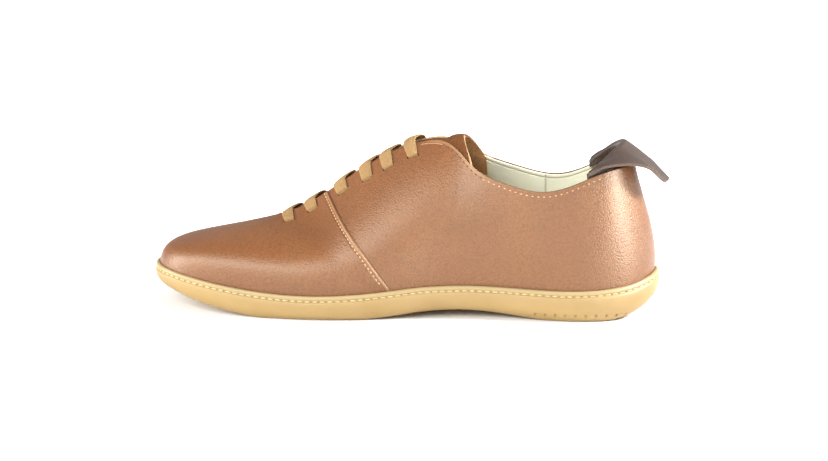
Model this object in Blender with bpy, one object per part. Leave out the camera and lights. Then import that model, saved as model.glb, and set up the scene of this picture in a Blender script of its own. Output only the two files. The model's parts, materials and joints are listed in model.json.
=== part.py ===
"""Low lace-up shoe for the right foot: leather upper, gum cup sole, insole, tongue, lace and heel flap."""

import math

import bmesh
import bpy
import numpy as np

for old in list(bpy.data.objects):
    bpy.data.objects.remove(old, do_unlink=True)

# Driving sizes in millimetres
MM = 0.001
LENGTH = 266.4
BALL_WIDTH = 89.5
INSTEP_HEIGHT = 92.0
HEEL_X = 133.2
WALL = 2.0
FIT = 0.3
SEAM_STEP = 0.8
SEAM_FADE = 16.0

# Sections of the last from the heel to the toe, one row for each rib of the upper.
# along, medial, lateral: the lip, as shares of LENGTH and BALL_WIDTH.
# lip, arch, cup, ground, tuck: millimetres of the sole, with arch as the extra rise of the medial side.
# top_along, top_half, top_height: the rib's upper end, as shares of LENGTH, BALL_WIDTH and INSTEP_HEIGHT.
# set_back, set_up: millimetres by which the lateral collar lies further back and higher.
# lean, crown: degrees at the two ends of the rib. sweep: degrees that the rib's start leans toward the toe.
# foot_pull, top_pull: millimetres over which the rib keeps those directions.
SECTION_COLUMNS = (
    "name", "along", "medial", "lateral", "lip", "arch", "cup", "ground", "tuck",
    "top_along", "top_half", "top_height", "set_back", "set_up",
    "lean", "sweep", "crown", "foot_pull", "top_pull",
)
SECTIONS = (
    ("heel_back", 0.0, 0.0, 0.0, 23.6, 0.0, 9.5, 6.5, 8.5, 0.044, 0.0, 0.862, 0, 0, 4, 0, 78, 20, 18),
    ("heel_turn", 0.042, 0.249, 0.254, 19.6, 0.0, 8.8, 2.2, 7.5, 0.071, 0.227, 0.868, 0, 0, 5, 0, 80, 20, 18),
    ("heel_side", 0.110, 0.328, 0.340, 16.6, 0.3, 7.8, -1.0, 5.0, 0.115, 0.291, 0.832, 1, 0.4, 5, 0, 82, 20, 18),
    ("ankle", 0.207, 0.333, 0.371, 15.8, 0.5, 7.6, -0.8, 4.4, 0.211, 0.324, 0.737, 4, 0.9, 4, 0, 84, 18, 16),
    ("waist", 0.297, 0.318, 0.402, 15.2, 2.0, 7.6, 0.8, 4.4, 0.305, 0.296, 0.788, 4, 1.2, 5, 2, 79, 18, 18),
    ("instep", 0.366, 0.325, 0.438, 14.9, 2.8, 7.6, 1.5, 4.4, 0.365, 0.229, 0.876, 2, 0.8, 7, 8, 66, 24, 22),
    ("throat_corner", 0.414, 0.341, 0.462, 14.7, 2.7, 7.6, 1.4, 4.4, 0.419, 0.106, 0.983, 0, 0, 8, 16, 44, 28, 27),
    ("facing", 0.460, 0.372, 0.482, 14.5, 2.3, 7.4, 0.9, 4.4, 0.530, 0.058, 0.904, 0, 0, 9, 28, 33, 30, 30),
    ("seam", 0.513, 0.414, 0.500, 14.0, 1.3, 7.2, 0.0, 4.4, 0.654, 0.052, 0.670, 0, 0, 9, 35, 30, 29, 30),
    ("ball", 0.640, 0.480, 0.516, 12.8, 0.1, 7.0, -1.2, 4.6, 0.718, 0.047, 0.565, 0, 0, 8, 18, 26, 24, 32),
    ("vamp", 0.782, 0.466, 0.458, 14.3, 0.3, 7.0, 0.1, 4.8, 0.743, 0.034, 0.533, 0, 0, 5, 4, 21, 20, 37),
    ("toe_side", 0.898, 0.402, 0.343, 18.6, 0.5, 6.8, 5.4, 5.6, 0.750, 0.018, 0.527, 0, 0, -3, 0, 17, 17, 46),
    ("toe_turn", 0.969, 0.279, 0.208, 22.0, 0.2, 6.6, 10.6, 6.2, 0.7515, 0.008, 0.525, 0, 0, -8, 0, 16, 16, 52),
    ("toe_tip", 1.000, 0.045, -0.045, 22.9, 0.0, 6.6, 12.2, 6.5, 0.752, 0.0, 0.525, 0, 0, -10, 0, 15, 16, 53),
)
SECTION = {name: np.array(column) for name, column in zip(SECTION_COLUMNS, zip(*SECTIONS))}
ROWS = len(SECTIONS)
RIBS_A_SIDE = 43
RIB_STEPS = 12
TOP_WEIGHT = 0.4

# Side of the cup sole, columns out and down: millimetres outward from the upper and down from the lip
LIP_PROFILE = (
    (FIT, 0.0),
    (1.3, 0.0),
    (1.9, 0.8),
    (2.1, 2.0),
    (1.5, 2.6),
    (2.3, 3.2),
    (2.4, 4.6),
)
SIDE_TURNS = (28, 52, 74, 90)

# Tread grooves, columns first, pitch and count: millimetres along the shoe from its middle
GROOVE_WIDTH = 1.8
GROOVE_DEPTH = 1.2
GROOVE_MARGIN = 6.0
GROOVE_GROUPS = (
    (-66.0, 8.0, 7),
    (74.0, 8.0, 5),
)
NOTCH_FIRST = 72.0
NOTCH_PITCH = 5.2
NOTCH_COUNT = 10
NOTCH_WIDTH = 1.4
NOTCH_DEPTH = 0.9
NOTCH_LOW = 1.8
NOTCH_HIGH = 4.2

# Insole, tongue and lace, with a row for each bar: millimetres along, share of the rib, fullness over the slit
INSOLE_THICKNESS = 2.8
TONGUE_THICKNESS = 1.6
TONGUE_GAP = 0.35
TONGUE_REACH = 0.80
TONGUE_RISE = 8.0
TONGUE_FULLNESS = 0.16
TONGUE_CURL = 0.33
LACE_WIDTH = 6.2
LACE_THICKNESS = 0.9
LACE_GAP = 0.35
LACE_SLANT = 2.6
LACE_CROSS = 4.0
LACE_RUN_WIDTH = 4.0
LACE_RUN_THICKNESS = 0.6
LACE_RUN_DIP = -1.3
BAR_COLUMNS = ("place", "reach", "fullness")
BAR_ROWS = (
    (-63.2, 0.900, 0.24),
    (-50.6, 0.920, 0.26),
    (-34.5, 0.914, 0.14),
    (-20.9, 0.888, 0.12),
    (-9.8, 0.884, 0.14),
    (3.2, 0.892, 0.34),
)
BARS = [dict(zip(BAR_COLUMNS, row)) for row in BAR_ROWS]
SLOT_LENGTH = 7.0
SLOT_WIDTH = 2.4

# Heel flap, half of it: where it leaves the collar, the share of the wall that its root goes down,
# the crest of its fold and its free edge, in millimetres; the lateral wing sags a little
FLAP_THICKNESS = 1.8
FLAP_FOLD = 1.7
FLAP_SPREAD = 19
FLAP_SAG = 2.0
FLAP_COLUMNS = ("share", "collar_x", "root", "crest_x", "crest_y", "crest_z", "edge_x", "edge_y", "edge_z")
FLAP_ROWS = (
    (0.00, 121.5, 0.200, 111.2, 0.0, 95.0, 139.3, 0.0, 70.6),
    (0.25, 119.6, 0.200, 110.2, 8.0, 93.6, 136.3, 14.5, 70.9),
    (0.50, 114.6, 0.150, 107.4, 14.5, 88.8, 127.7, 23.5, 79.9),
    (0.75, 107.0, 0.030, 103.4, 20.4, 82.8, 113.4, 29.1, 82.4),
    (0.90, 101.5, 0.020, 100.0, 23.2, 78.9, 104.3, 29.2, 80.3),
    (1.00, 97.8, 0.020, 97.5, 24.6, 76.3, 99.2, 27.4, 76.5),
)


def around(medial, lateral):
    """Values from the heel along the medial side to the toe, then back along the lateral side."""
    return np.concatenate([medial, lateral[-2:0:-1]])


def spline_bend(knots, values, period):
    """Second derivatives of the closed cubic spline through the values."""
    count = len(knots)
    gaps = np.append(np.diff(knots), period - knots[-1])
    matrix = np.zeros((count, count))
    right = np.zeros_like(values)
    for i in range(count):
        before = (i - 1) % count
        after = (i + 1) % count
        matrix[i, before] += gaps[before]
        matrix[i, i] += 2 * (gaps[before] + gaps[i])
        matrix[i, after] += gaps[i]
        rise = (values[after] - values[i]) / gaps[i]
        fall = (values[i] - values[before]) / gaps[before]
        right[i] = 6 * (rise - fall)
    return np.linalg.solve(matrix, right)


def spline_read(u, knots, values, bend, period):
    """Values of the closed cubic spline at u."""
    u = np.asarray(u, float) % period
    count = len(knots)
    i = np.searchsorted(knots, u, side="right") - 1
    after = (i + 1) % count
    gaps = np.append(np.diff(knots), period - knots[-1])[i]
    b = ((u - knots[i]) / gaps)[..., None]
    a = 1 - b
    square = (gaps**2 / 6)[..., None]
    curve = ((a**3 - a) * bend[i] + (b**3 - b) * bend[after]) * square
    return a * values[i] + b * values[after] + curve


LIP_X = HEEL_X - SECTION["along"] * LENGTH
TOP_X = HEEL_X - SECTION["top_along"] * LENGTH
TOP_HALF = SECTION["top_half"] * BALL_WIDTH
TOP_Z = SECTION["top_height"] * INSTEP_HEIGHT
RING = np.column_stack([
    around(LIP_X, LIP_X),
    around(-SECTION["medial"] * BALL_WIDTH, SECTION["lateral"] * BALL_WIDTH),
    around(SECTION["lip"] + SECTION["arch"], SECTION["lip"]),
    around(TOP_X, TOP_X + SECTION["set_back"]),
    around(-TOP_HALF, TOP_HALF),
    around(TOP_Z, TOP_Z + SECTION["set_up"]),
    around(SECTION["cup"], SECTION["cup"]),
    around(SECTION["ground"] + SECTION["arch"], SECTION["ground"]),
    around(SECTION["tuck"], SECTION["tuck"]),
    around(SECTION["lean"], SECTION["lean"]),
    around(SECTION["crown"], SECTION["crown"]),
    around(SECTION["foot_pull"], SECTION["foot_pull"]),
    around(SECTION["top_pull"], SECTION["top_pull"]),
    around(SECTION["sweep"], -SECTION["sweep"]),
])
CHORDS = np.roll(RING, -1, axis=0) - RING
STEPS = np.linalg.norm(CHORDS[:, 0:2], axis=1) + TOP_WEIGHT * np.linalg.norm(CHORDS[:, 3:6], axis=1)
PERIOD = STEPS.sum()
KNOTS = np.concatenate([[0.0], np.cumsum(STEPS)[:-1]])
BEND = spline_bend(KNOTS, RING, PERIOD)
TOE = KNOTS[ROWS - 1]
NAMES = [row[0] for row in SECTIONS]
SEAM = KNOTS[NAMES.index("seam")]


def ring(u):
    """Columns of the section table at u, with the sole's ground kept on or above the floor."""
    values = spline_read(u, KNOTS, RING, BEND, PERIOD)
    values[..., 7] = np.maximum(values[..., 7], 0.0)
    return values


def unit(vectors):
    """Vectors of length one."""
    return vectors / np.linalg.norm(vectors, axis=-1, keepdims=True)


def outward(u):
    """Level direction out of the lip's outline."""
    tangent = ring(u + 0.05)[..., 0:2] - ring(u - 0.05)[..., 0:2]
    normal = np.stack([-tangent[..., 1], tangent[..., 0], np.zeros_like(tangent[..., 0])], axis=-1)
    return unit(normal)


UP = np.array([0.0, 0.0, 1.0])


def skin(u, v):
    """Outer face of the upper without its seam: u runs around the lip, v from the lip to the top edge."""
    u = np.asarray(u, float)
    v = np.asarray(v, float)[..., None]
    values = ring(u)
    foot = values[..., 0:3]
    top = values[..., 3:6]
    out = outward(u)
    lean = np.radians(values[..., 9])[..., None]
    crown = np.radians(values[..., 10])[..., None]
    sweep = np.radians(values[..., 13])[..., None]
    ahead = np.cross(out, UP)
    heading = (top - foot) * np.array([1.0, 1.0, 0.0])
    heading = heading - np.abs(np.sin(sweep)) * (heading * ahead).sum(axis=-1, keepdims=True) * ahead
    heading = unit(heading - 10.0 * out)
    low = foot + values[..., 11:12] * (np.cos(lean) * UP + np.sin(lean) * out + np.tan(sweep) * ahead)
    high = top - values[..., 12:13] * (np.cos(crown) * heading + np.sin(crown) * UP)
    w = 1 - v
    return w**3 * foot + 3 * w**2 * v * low + 3 * w * v**2 * high + v**3 * top


def skin_normal(u, v):
    """Outward normal of the upper's outer face."""
    u = np.asarray(u, float)
    v = np.asarray(v, float)
    along = skin(u + 0.05, v) - skin(u - 0.05, v)
    rise = skin(u, v + 0.004) - skin(u, v - 0.004)
    return unit(np.cross(rise, along))


def seam_rise(u):
    """Height of the overlapped seam: full just in front of it, fading toward the toe."""
    ahead = np.asarray(u, float) - SEAM
    fade = np.clip(1 - ahead / SEAM_FADE, 0.0, 1.0)
    return np.where(ahead >= 0, SEAM_STEP * fade * fade * (3 - 2 * fade), 0.0)


def side_ribs(start, stop, seam):
    """Ribs of one side, evenly spread over lip and top, with a close pair at the seam row."""
    fine = np.linspace(start, stop, 3001)
    values = ring(fine)
    lip_run = np.linalg.norm(np.diff(values[:, 0:2], axis=0), axis=1)
    top_run = np.linalg.norm(np.diff(values[:, 3:6], axis=0), axis=1)
    cost = np.concatenate([[0.0], np.cumsum(lip_run + TOP_WEIGHT * top_run)])
    even = np.interp(np.linspace(0, cost[-1], RIBS_A_SIDE + 1), cost, fine)
    nearest = np.argmin(np.abs(even - seam))
    return np.concatenate([even[:nearest], [seam - 0.4, seam + 0.4], even[nearest + 1:]])


MEDIAL_RIBS = side_ribs(0.0, TOE, SEAM)
LATERAL_SEAM = KNOTS[2 * (ROWS - 1) - NAMES.index("seam")]
LATERAL_RIBS = side_ribs(TOE, PERIOD, LATERAL_SEAM)
RIBS = np.concatenate([MEDIAL_RIBS, LATERAL_RIBS[1:-1]])
COUNT = len(RIBS)
HALF = COUNT // 2


def ring_faces(first, second, count):
    """Quads between two rings of the same count."""
    faces = []
    for i in range(count):
        after = (i + 1) % count
        faces.append((first + i, first + after, second + after, second + i))
    return faces


def cross_faces(first):
    """Faces that close a ring from its medial to its lateral side."""
    faces = [(first, first + 1, first + COUNT - 1)]
    for i in range(1, HALF - 1):
        faces.append((first + i, first + i + 1, first + COUNT - i - 1, first + COUNT - i))
    faces.append((first + HALF - 1, first + HALF, first + HALF + 1))
    return faces


def grid_shell(outer, inner):
    """Closed sheet between two grids of points of the same shape."""
    rows, columns = outer.shape[:2]
    points = np.concatenate([outer.reshape(-1, 3), inner.reshape(-1, 3)])
    size = rows * columns
    faces = []
    for r in range(rows - 1):
        for c in range(columns - 1):
            a = r * columns + c
            b = a + columns
            faces.append((a, a + 1, b + 1, b))
            faces.append((size + a, size + b, size + b + 1, size + a + 1))
    rim = [c for c in range(columns)]
    rim += [r * columns + columns - 1 for r in range(1, rows)]
    rim += [(rows - 1) * columns + c for c in range(columns - 2, -1, -1)]
    rim += [r * columns for r in range(rows - 2, 0, -1)]
    for i, a in enumerate(rim):
        b = rim[(i + 1) % len(rim)]
        faces.append((a, b, size + b, size + a))
    return points, faces


def tube_shell(sections):
    """Closed bar through sections of the same number of points."""
    rows, columns = sections.shape[:2]
    points = sections.reshape(-1, 3)
    faces = []
    for r in range(rows - 1):
        faces += ring_faces(r * columns, (r + 1) * columns, columns)
    faces.append(tuple(range(columns)))
    faces.append(tuple(range((rows - 1) * columns, rows * columns)))
    return points, faces


def box_shell(centre, axes, size):
    """Closed box about a centre with its own three directions."""
    corners = []
    for i in (-0.5, 0.5):
        for j in (-0.5, 0.5):
            for k in (-0.5, 0.5):
                corners.append(centre + i * size[0] * axes[0] + j * size[1] * axes[1] + k * size[2] * axes[2])
    faces = [(0, 1, 3, 2), (4, 6, 7, 5), (0, 4, 5, 1), (2, 3, 7, 6), (0, 2, 6, 4), (1, 5, 7, 3)]
    return np.array(corners), faces


def join(shells):
    """Several separate shells in one list of points and faces."""
    points = []
    faces = []
    start = 0
    for shell_points, shell_faces in shells:
        points.append(shell_points)
        faces += [tuple(start + i for i in face) for face in shell_faces]
        start += len(shell_points)
    return np.concatenate(points), faces


def make_material(name, colour, roughness):
    """Principled material in one plain colour."""
    material = bpy.data.materials.new(name)
    material.use_nodes = True
    shader = material.node_tree.nodes["Principled BSDF"]
    shader.inputs["Base Color"].default_value = (*colour, 1.0)
    shader.inputs["Roughness"].default_value = roughness
    return material


def make_object(name, shell, material=None):
    """Mesh object from points in millimetres, faces out."""
    points, faces = shell
    mesh = bpy.data.meshes.new(name)
    mesh.from_pydata([tuple(p) for p in (points - CENTRE) * MM], [], faces)
    work = bmesh.new()
    work.from_mesh(mesh)
    bmesh.ops.triangulate(work, faces=work.faces, quad_method="SHORT_EDGE")
    bmesh.ops.recalc_face_normals(work, faces=work.faces)
    for face in work.faces:
        face.smooth = True
    work.to_mesh(mesh)
    work.free()
    thing = bpy.data.objects.new(name, mesh)
    bpy.context.scene.collection.objects.link(thing)
    if material:
        mesh.materials.append(material)
    return thing


def cut(thing, cutter, operation):
    """Boolean of a piece with a hidden helper."""
    cutter.hide_render = True
    cutter.display_type = "WIRE"
    modifier = thing.modifiers.new(cutter.name, "BOOLEAN")
    modifier.operation = operation
    modifier.solver = "EXACT"
    modifier.object = cutter


# Upper: outer and inner face of one wall, from the cup's floor to the top edge
RIB_SHARES = np.linspace(0.0, 1.0, RIB_STEPS + 1)


def upper_shell():
    """Points and faces of the hollow upper."""
    values = ring(RIBS)
    foot_drop = (values[:, 6] - FIT)[:, None] * UP
    fade = np.clip(RIB_SHARES / 0.08, 0.0, 1.0)
    outer = []
    inner = []
    for share, seam_share in zip(RIB_SHARES, fade):
        level = np.full(COUNT, share)
        face = skin(RIBS, level)
        normal = skin_normal(RIBS, level)
        if share == 0.0:
            normal = outward(RIBS)
        outer.append(face + (seam_rise(RIBS) * seam_share)[:, None] * normal)
        inner.append(face - WALL * normal)
    outer.insert(0, outer[0] - foot_drop)
    inner.insert(0, inner[0] - foot_drop)
    rings = outer + inner[::-1]
    faces = []
    for i in range(len(rings)):
        after = (i + 1) % len(rings)
        faces += ring_faces(i * COUNT, after * COUNT, COUNT)
    return np.concatenate(rings), faces


# Outsole: cup floor, lip, side and bottom as rings around the same ribs
def sole_ring(out, height):
    """Ring at a distance out of the upper's lip outline and at given heights."""
    lip = ring(RIBS)[:, 0:3]
    points = lip + np.asarray(out).reshape(-1, 1) * outward(RIBS)
    points[:, 2] = height
    return points


def outsole_shell():
    """Points and faces of the cup sole."""
    values = ring(RIBS)
    lip = values[:, 2]
    ground = values[:, 7]
    tuck = values[:, 8]
    rings = [sole_ring(FIT, lip - values[:, 6])]
    for out, down in LIP_PROFILE:
        rings.append(sole_ring(out, lip - down))
    bulge_out, bulge_down = LIP_PROFILE[-1]
    for turn in SIDE_TURNS:
        angle = math.radians(turn)
        out = bulge_out - tuck * (1 - math.cos(angle))
        height = lip - bulge_down - (lip - bulge_down - ground) * math.sin(angle)
        rings.append(sole_ring(out, height))
    faces = cross_faces(0)
    for i in range(len(rings) - 1):
        faces += ring_faces(i * COUNT, (i + 1) * COUNT, COUNT)
    faces += cross_faces((len(rings) - 1) * COUNT)
    return np.concatenate(rings), faces


def side_point(x, side, height):
    """Point of the sole's rounded side at a place along the shoe, and its level direction out."""
    ribs = MEDIAL_RIBS if side < 0 else LATERAL_RIBS[::-1]
    u = np.interp(-x, -ring(ribs)[:, 0], ribs)
    values = ring(np.array([u]))[0]
    out_direction = outward(np.array([u]))[0]
    bulge_out, bulge_down = LIP_PROFILE[-1]
    top = values[2] - bulge_down
    sine = min(max((top - height) / (top - values[7]), 0.0), 1.0)
    out = bulge_out - values[8] * (1 - math.sqrt(1 - sine * sine))
    point = values[0:3] + out * out_direction
    point[2] = height
    return point, out_direction


def tread_shell():
    """Boxes that cut the tread grooves and the heel's side notches."""
    shells = []
    level = np.eye(3)
    for first, pitch, count in GROOVE_GROUPS:
        for i in range(count):
            x = first + i * pitch
            medial = side_point(x, -1, 0.0)[0][1] + GROOVE_MARGIN
            lateral = side_point(x, 1, 0.0)[0][1] - GROOVE_MARGIN
            centre = np.array([x, (medial + lateral) / 2, 0.0])
            shells.append(box_shell(centre, level, (GROOVE_WIDTH, lateral - medial, 2 * GROOVE_DEPTH)))
    for side in (-1, 1):
        for i in range(NOTCH_COUNT):
            x = NOTCH_FIRST + i * NOTCH_PITCH
            middle = (NOTCH_LOW + NOTCH_HIGH) / 2
            point, out_direction = side_point(x, side, middle)
            axes = (np.cross(UP, out_direction), out_direction, UP)
            centre = point + out_direction * (1.5 - NOTCH_DEPTH)
            shells.append(box_shell(centre, axes, (NOTCH_WIDTH, 3.0, NOTCH_HIGH - NOTCH_LOW)))
    return join(shells)


def insole_shell():
    """Footbed that follows the cup's floor inside the upper."""
    values = ring(RIBS)
    floor = values[:, 2] - values[:, 6] + FIT
    edge = -(WALL + FIT)
    low = sole_ring(edge, floor)
    high = sole_ring(edge - 0.1, floor + INSOLE_THICKNESS)
    faces = cross_faces(0) + ring_faces(0, COUNT, COUNT) + cross_faces(COUNT)
    return np.concatenate([low, high]), faces


# Instep face over the lace slit: the two sides' ribs joined by a smooth bridge
def rib_at(x, v, side):
    """The rib of one side whose point at v lies at x, between the heel and the vamp."""
    low = 0.0
    high = KNOTS[NAMES.index("vamp")] + 6.0
    for _ in range(48):
        middle = (low + high) / 2
        place = skin(middle if side < 0 else PERIOD - middle, v)
        if place[0] > x:
            low = middle
        else:
            high = middle
    return low if side < 0 else PERIOD - low


def bridge(start, start_way, stop, stop_way, shares, fullness):
    """Cubic bridge between two points that leaves each along its own direction."""
    pull = fullness * np.linalg.norm(stop - start)
    b = np.asarray(shares)[:, None]
    a = 1 - b
    first = start + pull * start_way
    second = stop + pull * stop_way
    return a**3 * start + 3 * a * a * b * first + 3 * a * b * b * second + b**3 * stop


def top_way(u):
    """Direction in which a rib arrives at the top edge."""
    return unit(skin(u, 1.0) - skin(u, 0.99))


BRIDGE_SHARES = (0.2, 0.4, 0.6, 0.8)


def instep_row(medial, lateral, fullness):
    """Points across the instep for matching lists of (rib, share) from the outside to the slit's edges."""
    left = np.array([skin(u, v) for u, v in medial])
    right = np.array([skin(u, v) for u, v in lateral])
    start_way = top_way(medial[-1][0])
    stop_way = top_way(lateral[-1][0])
    middle = bridge(left[-1], start_way, right[-1], stop_way, BRIDGE_SHARES, fullness)
    return np.concatenate([left, middle, right[::-1]])


def grid_normals(grid):
    """Normals of a grid of points, from its own neighbours."""
    along = np.gradient(grid, axis=0)
    across = np.gradient(grid, axis=1)
    return unit(np.cross(along, across))


# Tongue: a leaf under the slit that follows the inner face of the upper
def tongue_shell():
    """Points and faces of the tongue."""
    corner = KNOTS[NAMES.index("throat_corner")]
    first = KNOTS[NAMES.index("instep")] - TONGUE_RISE
    last = KNOTS[NAMES.index("vamp")] + 4.0
    picked = [u for u in MEDIAL_RIBS if first <= u <= last]
    matched = LATERAL_RIBS[::-1]
    shares = [s for s in RIB_SHARES if s >= TONGUE_REACH]
    rows = []
    start = list(MEDIAL_RIBS).index(picked[0])
    for k, u in enumerate(picked):
        other = matched[start + k]
        beyond = min(max((corner - u) / (corner - first), 0.0), 1.0)
        fullness = TONGUE_FULLNESS + TONGUE_CURL * math.sin(0.84 * math.pi * beyond**0.55)
        rows.append(instep_row([(u, s) for s in shares], [(other, s) for s in shares], fullness))
    grid = np.array(rows)
    normal = grid_normals(grid)
    if normal[0, len(grid[0]) // 2, 2] < 0:
        normal = -normal
    high = grid - (WALL + TONGUE_GAP) * normal
    low = high - TONGUE_THICKNESS * normal
    return grid_shell(high, low)


# Lace: bars over the slit and one run between them
def bar_lines(x, reach, fullness):
    """Line across the slit at a place along the shoe."""
    shares = np.linspace(reach, 1.0, 4)
    lines = []
    for side in (-1, 1):
        line = []
        for v in shares:
            slant = LACE_SLANT * (1 - v) / (1 - reach) + LACE_CROSS * (side > 0)
            line.append((rib_at(x + slant, v, side), v))
        lines.append(line)
    row = instep_row(lines[0], lines[1], fullness)
    for k, (u, v) in enumerate(lines[0]):
        row[k] += seam_rise(u) * skin_normal(u, v)
    return row


def bar_grid(place, reach, fullness):
    """Three lines of one bar and the normals of the instep below it."""
    grid = np.array([bar_lines(place + step * LACE_WIDTH / 2, reach, fullness) for step in (-1, 0, 1)])
    normal = grid_normals(grid)
    if normal[1, grid.shape[1] // 2, 2] < 0:
        normal = -normal
    return grid, normal


def bar_shell(bar):
    """One flat bar over the slit."""
    grid, normal = bar_grid(**bar)
    columns = grid.shape[1]
    low = LACE_GAP
    high = low + LACE_THICKNESS
    mean = (low + high) / 2
    sections = []
    for c in range(columns):
        front = grid[0, c]
        back = grid[2, c]
        wide = (back - front) / 2
        middle = (front + back) / 2
        up = unit(normal[1, c])
        lift = max(np.dot(grid[1, c] - middle, up), 0.0)
        base = middle + up * lift
        sections.append([
            base - 0.90 * wide + up * low,
            base + 0.90 * wide + up * low,
            base + wide + up * mean,
            base + 0.90 * wide + up * high,
            base - 0.90 * wide + up * high,
            base - wide + up * mean,
        ])
    return tube_shell(np.array(sections))


def run_shell():
    """Run of lace along the slit that ties the bars together."""
    middle_of_bar = LACE_GAP + LACE_THICKNESS / 2
    steps = 6
    sections = []
    for place in np.linspace(0, len(BARS) - 1, (len(BARS) - 1) * steps + 1):
        between = [np.interp(place, range(len(BARS)), [bar[name] for bar in BARS]) for name in BAR_COLUMNS]
        wave = 0.5 + 0.5 * math.cos(2 * math.pi * place)
        offset = LACE_RUN_DIP + (middle_of_bar - LACE_RUN_DIP) * wave
        grid, normal = bar_grid(*between)
        c = grid.shape[1] // 2
        centre = (grid[1, c - 1] + grid[1, c]) / 2
        up = unit(normal[1, c - 1] + normal[1, c])
        wide = unit(grid[1, c] - grid[1, c - 1]) * LACE_RUN_WIDTH / 2
        low = centre + up * (offset - LACE_RUN_THICKNESS / 2)
        high = centre + up * (offset + LACE_RUN_THICKNESS / 2)
        sections.append([low - wide, low + wide, high + wide, high - wide])
    return tube_shell(np.array(sections))


def slot_shell():
    """Boxes that punch the lace slots through the upper."""
    shells = []
    for bar in BARS:
        reach = bar["reach"]
        for side in (-1, 1):
            end = bar["place"] + LACE_SLANT + LACE_CROSS * (side > 0)
            u = rib_at(end, reach, side)
            point = skin(u, reach)
            normal = skin_normal(u, reach)
            ahead = skin(rib_at(end - 1.0, reach, side), reach) - point
            ahead = unit(ahead - normal * np.dot(ahead, normal))
            axes = (ahead, np.cross(normal, ahead), normal)
            shells.append(box_shell(point, axes, (SLOT_LENGTH, SLOT_WIDTH, 9.0)))
    return join(shells)


# Heel flap: anchored inside the heel collar, folded back over it
def flap_rows():
    """Flap table for the medial side, the middle and the lateral side, as a smooth spread of columns."""
    table = np.array(FLAP_ROWS)
    flip = table * np.where([name in ("share", "crest_y", "edge_y") for name in FLAP_COLUMNS], -1, 1)
    both = np.concatenate([flip[:0:-1], table])
    spread = np.linspace(-1, 1, FLAP_SPREAD)
    spread = np.sign(spread) * np.abs(spread) ** 0.9
    return spread, smooth_read(spread, both[:, 0], both[:, 1:])


def smooth_read(at, knots, values):
    """Smooth curve through table rows, with slopes from the neighbours."""
    slopes = np.gradient(values, knots, axis=0)
    i = np.clip(np.searchsorted(knots, at, side="right") - 1, 0, len(knots) - 2)
    gap = (knots[i + 1] - knots[i])[:, None]
    b = (at - knots[i])[:, None] / gap
    first = (1 + 2 * b) * (1 - b) ** 2 * values[i] + b * (1 - b) ** 2 * gap * slopes[i]
    second = b * b * (3 - 2 * b) * values[i + 1] + b * b * (b - 1) * gap * slopes[i + 1]
    return first + second


def fold_path(start, corner, stop):
    """Points from start to stop with a round fold at the corner."""
    rise = start - corner
    fall = stop - corner
    half = math.acos(np.clip(np.dot(unit(rise), unit(fall)), -1.0, 1.0)) / 2
    reach = FLAP_FOLD / math.tan(half)
    reach = min(reach, 0.42 * np.linalg.norm(rise), 0.42 * np.linalg.norm(fall))
    radius = reach * math.tan(half)
    centre = corner + unit(unit(rise) + unit(fall)) * radius / math.sin(half)
    first = unit(corner + unit(rise) * reach - centre)
    second = unit(corner + unit(fall) * reach - centre)
    sweep = math.acos(np.clip(np.dot(first, second), -1.0, 1.0))
    path = [start + (corner + unit(rise) * reach - start) * 0.5]
    for k in range(6):
        share = k / 5
        turn = math.sin((1 - share) * sweep) * first + math.sin(share * sweep) * second
        path.append(centre + radius * turn / math.sin(sweep))
    last = path[-1]
    for k in range(1, 5):
        path.append(last + (stop - last) * k / 4)
    return path


def flap_shell():
    """Points and faces of the heel flap."""
    spread, values = flap_rows()
    columns = []
    for share, row in zip(spread, values):
        side = -1 if share < 0 else 1
        u = rib_at(row[0], 1.0, side) if abs(share) > 1e-6 else 0.0
        inside = WALL + FIT + FLAP_THICKNESS / 2
        column = [skin(u, v) - inside * skin_normal(u, v) for v in np.linspace(1 - row[1], 1.0, 3)]
        sag = np.array([0.0, 0.0, FLAP_SAG * math.sin(math.pi * max(share, 0.0))])
        column += fold_path(column[-1], row[2:5], row[5:8] - sag)
        columns.append(column)
    grid = np.array(columns)
    normal = grid_normals(grid)
    return grid_shell(grid + FLAP_THICKNESS / 2 * normal, grid - FLAP_THICKNESS / 2 * normal)


# Build the pieces about the middle of the whole shoe
CENTRE = np.zeros(3)
SHELLS = {
    "upper": upper_shell(),
    "outsole": outsole_shell(),
    "insole": insole_shell(),
    "tongue": tongue_shell(),
    "heel_flap": flap_shell(),
}
LOW = np.min([shell[0].min(axis=0) for shell in SHELLS.values()], axis=0)
HIGH = np.max([shell[0].max(axis=0) for shell in SHELLS.values()], axis=0)
CENTRE = np.array([(LOW[0] + HIGH[0]) / 2, (LOW[1] + HIGH[1]) / 2, LOW[2]])

LOOKS = {
    "upper": ((0.42, 0.20, 0.10), 0.45),
    "outsole": ((0.80, 0.58, 0.24), 0.55),
    "insole": ((0.78, 0.74, 0.60), 0.80),
    "tongue": ((0.34, 0.16, 0.08), 0.60),
    "heel_flap": ((0.16, 0.10, 0.08), 0.50),
    "lace": ((0.66, 0.42, 0.20), 0.85),
}
MATERIALS = {name: make_material(name, colour, roughness) for name, (colour, roughness) in LOOKS.items()}
PIECES = {name: make_object(name, shell, MATERIALS[name]) for name, shell in SHELLS.items()}
PIECES["lace"] = make_object("lace", join([bar_shell(bar) for bar in BARS]), MATERIALS["lace"])
cut(PIECES["lace"], make_object("lace_run", run_shell()), "UNION")
cut(PIECES["upper"], make_object("lace_slots", slot_shell()), "DIFFERENCE")
cut(PIECES["outsole"], make_object("tread_cuts", tread_shell()), "DIFFERENCE")
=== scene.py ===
# %% [markdown]
# # A low lace-up shoe, dressed
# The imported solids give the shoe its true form. This lesson makes each of them again with finer faces,
# from the same table of sections, and adds what solids leave out: grain, lining, thread, weave and raw
# leather edges. Shapes are worked out in the shoe's own millimetres and become metres when a mesh is
# made.

import json
import math

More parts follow.
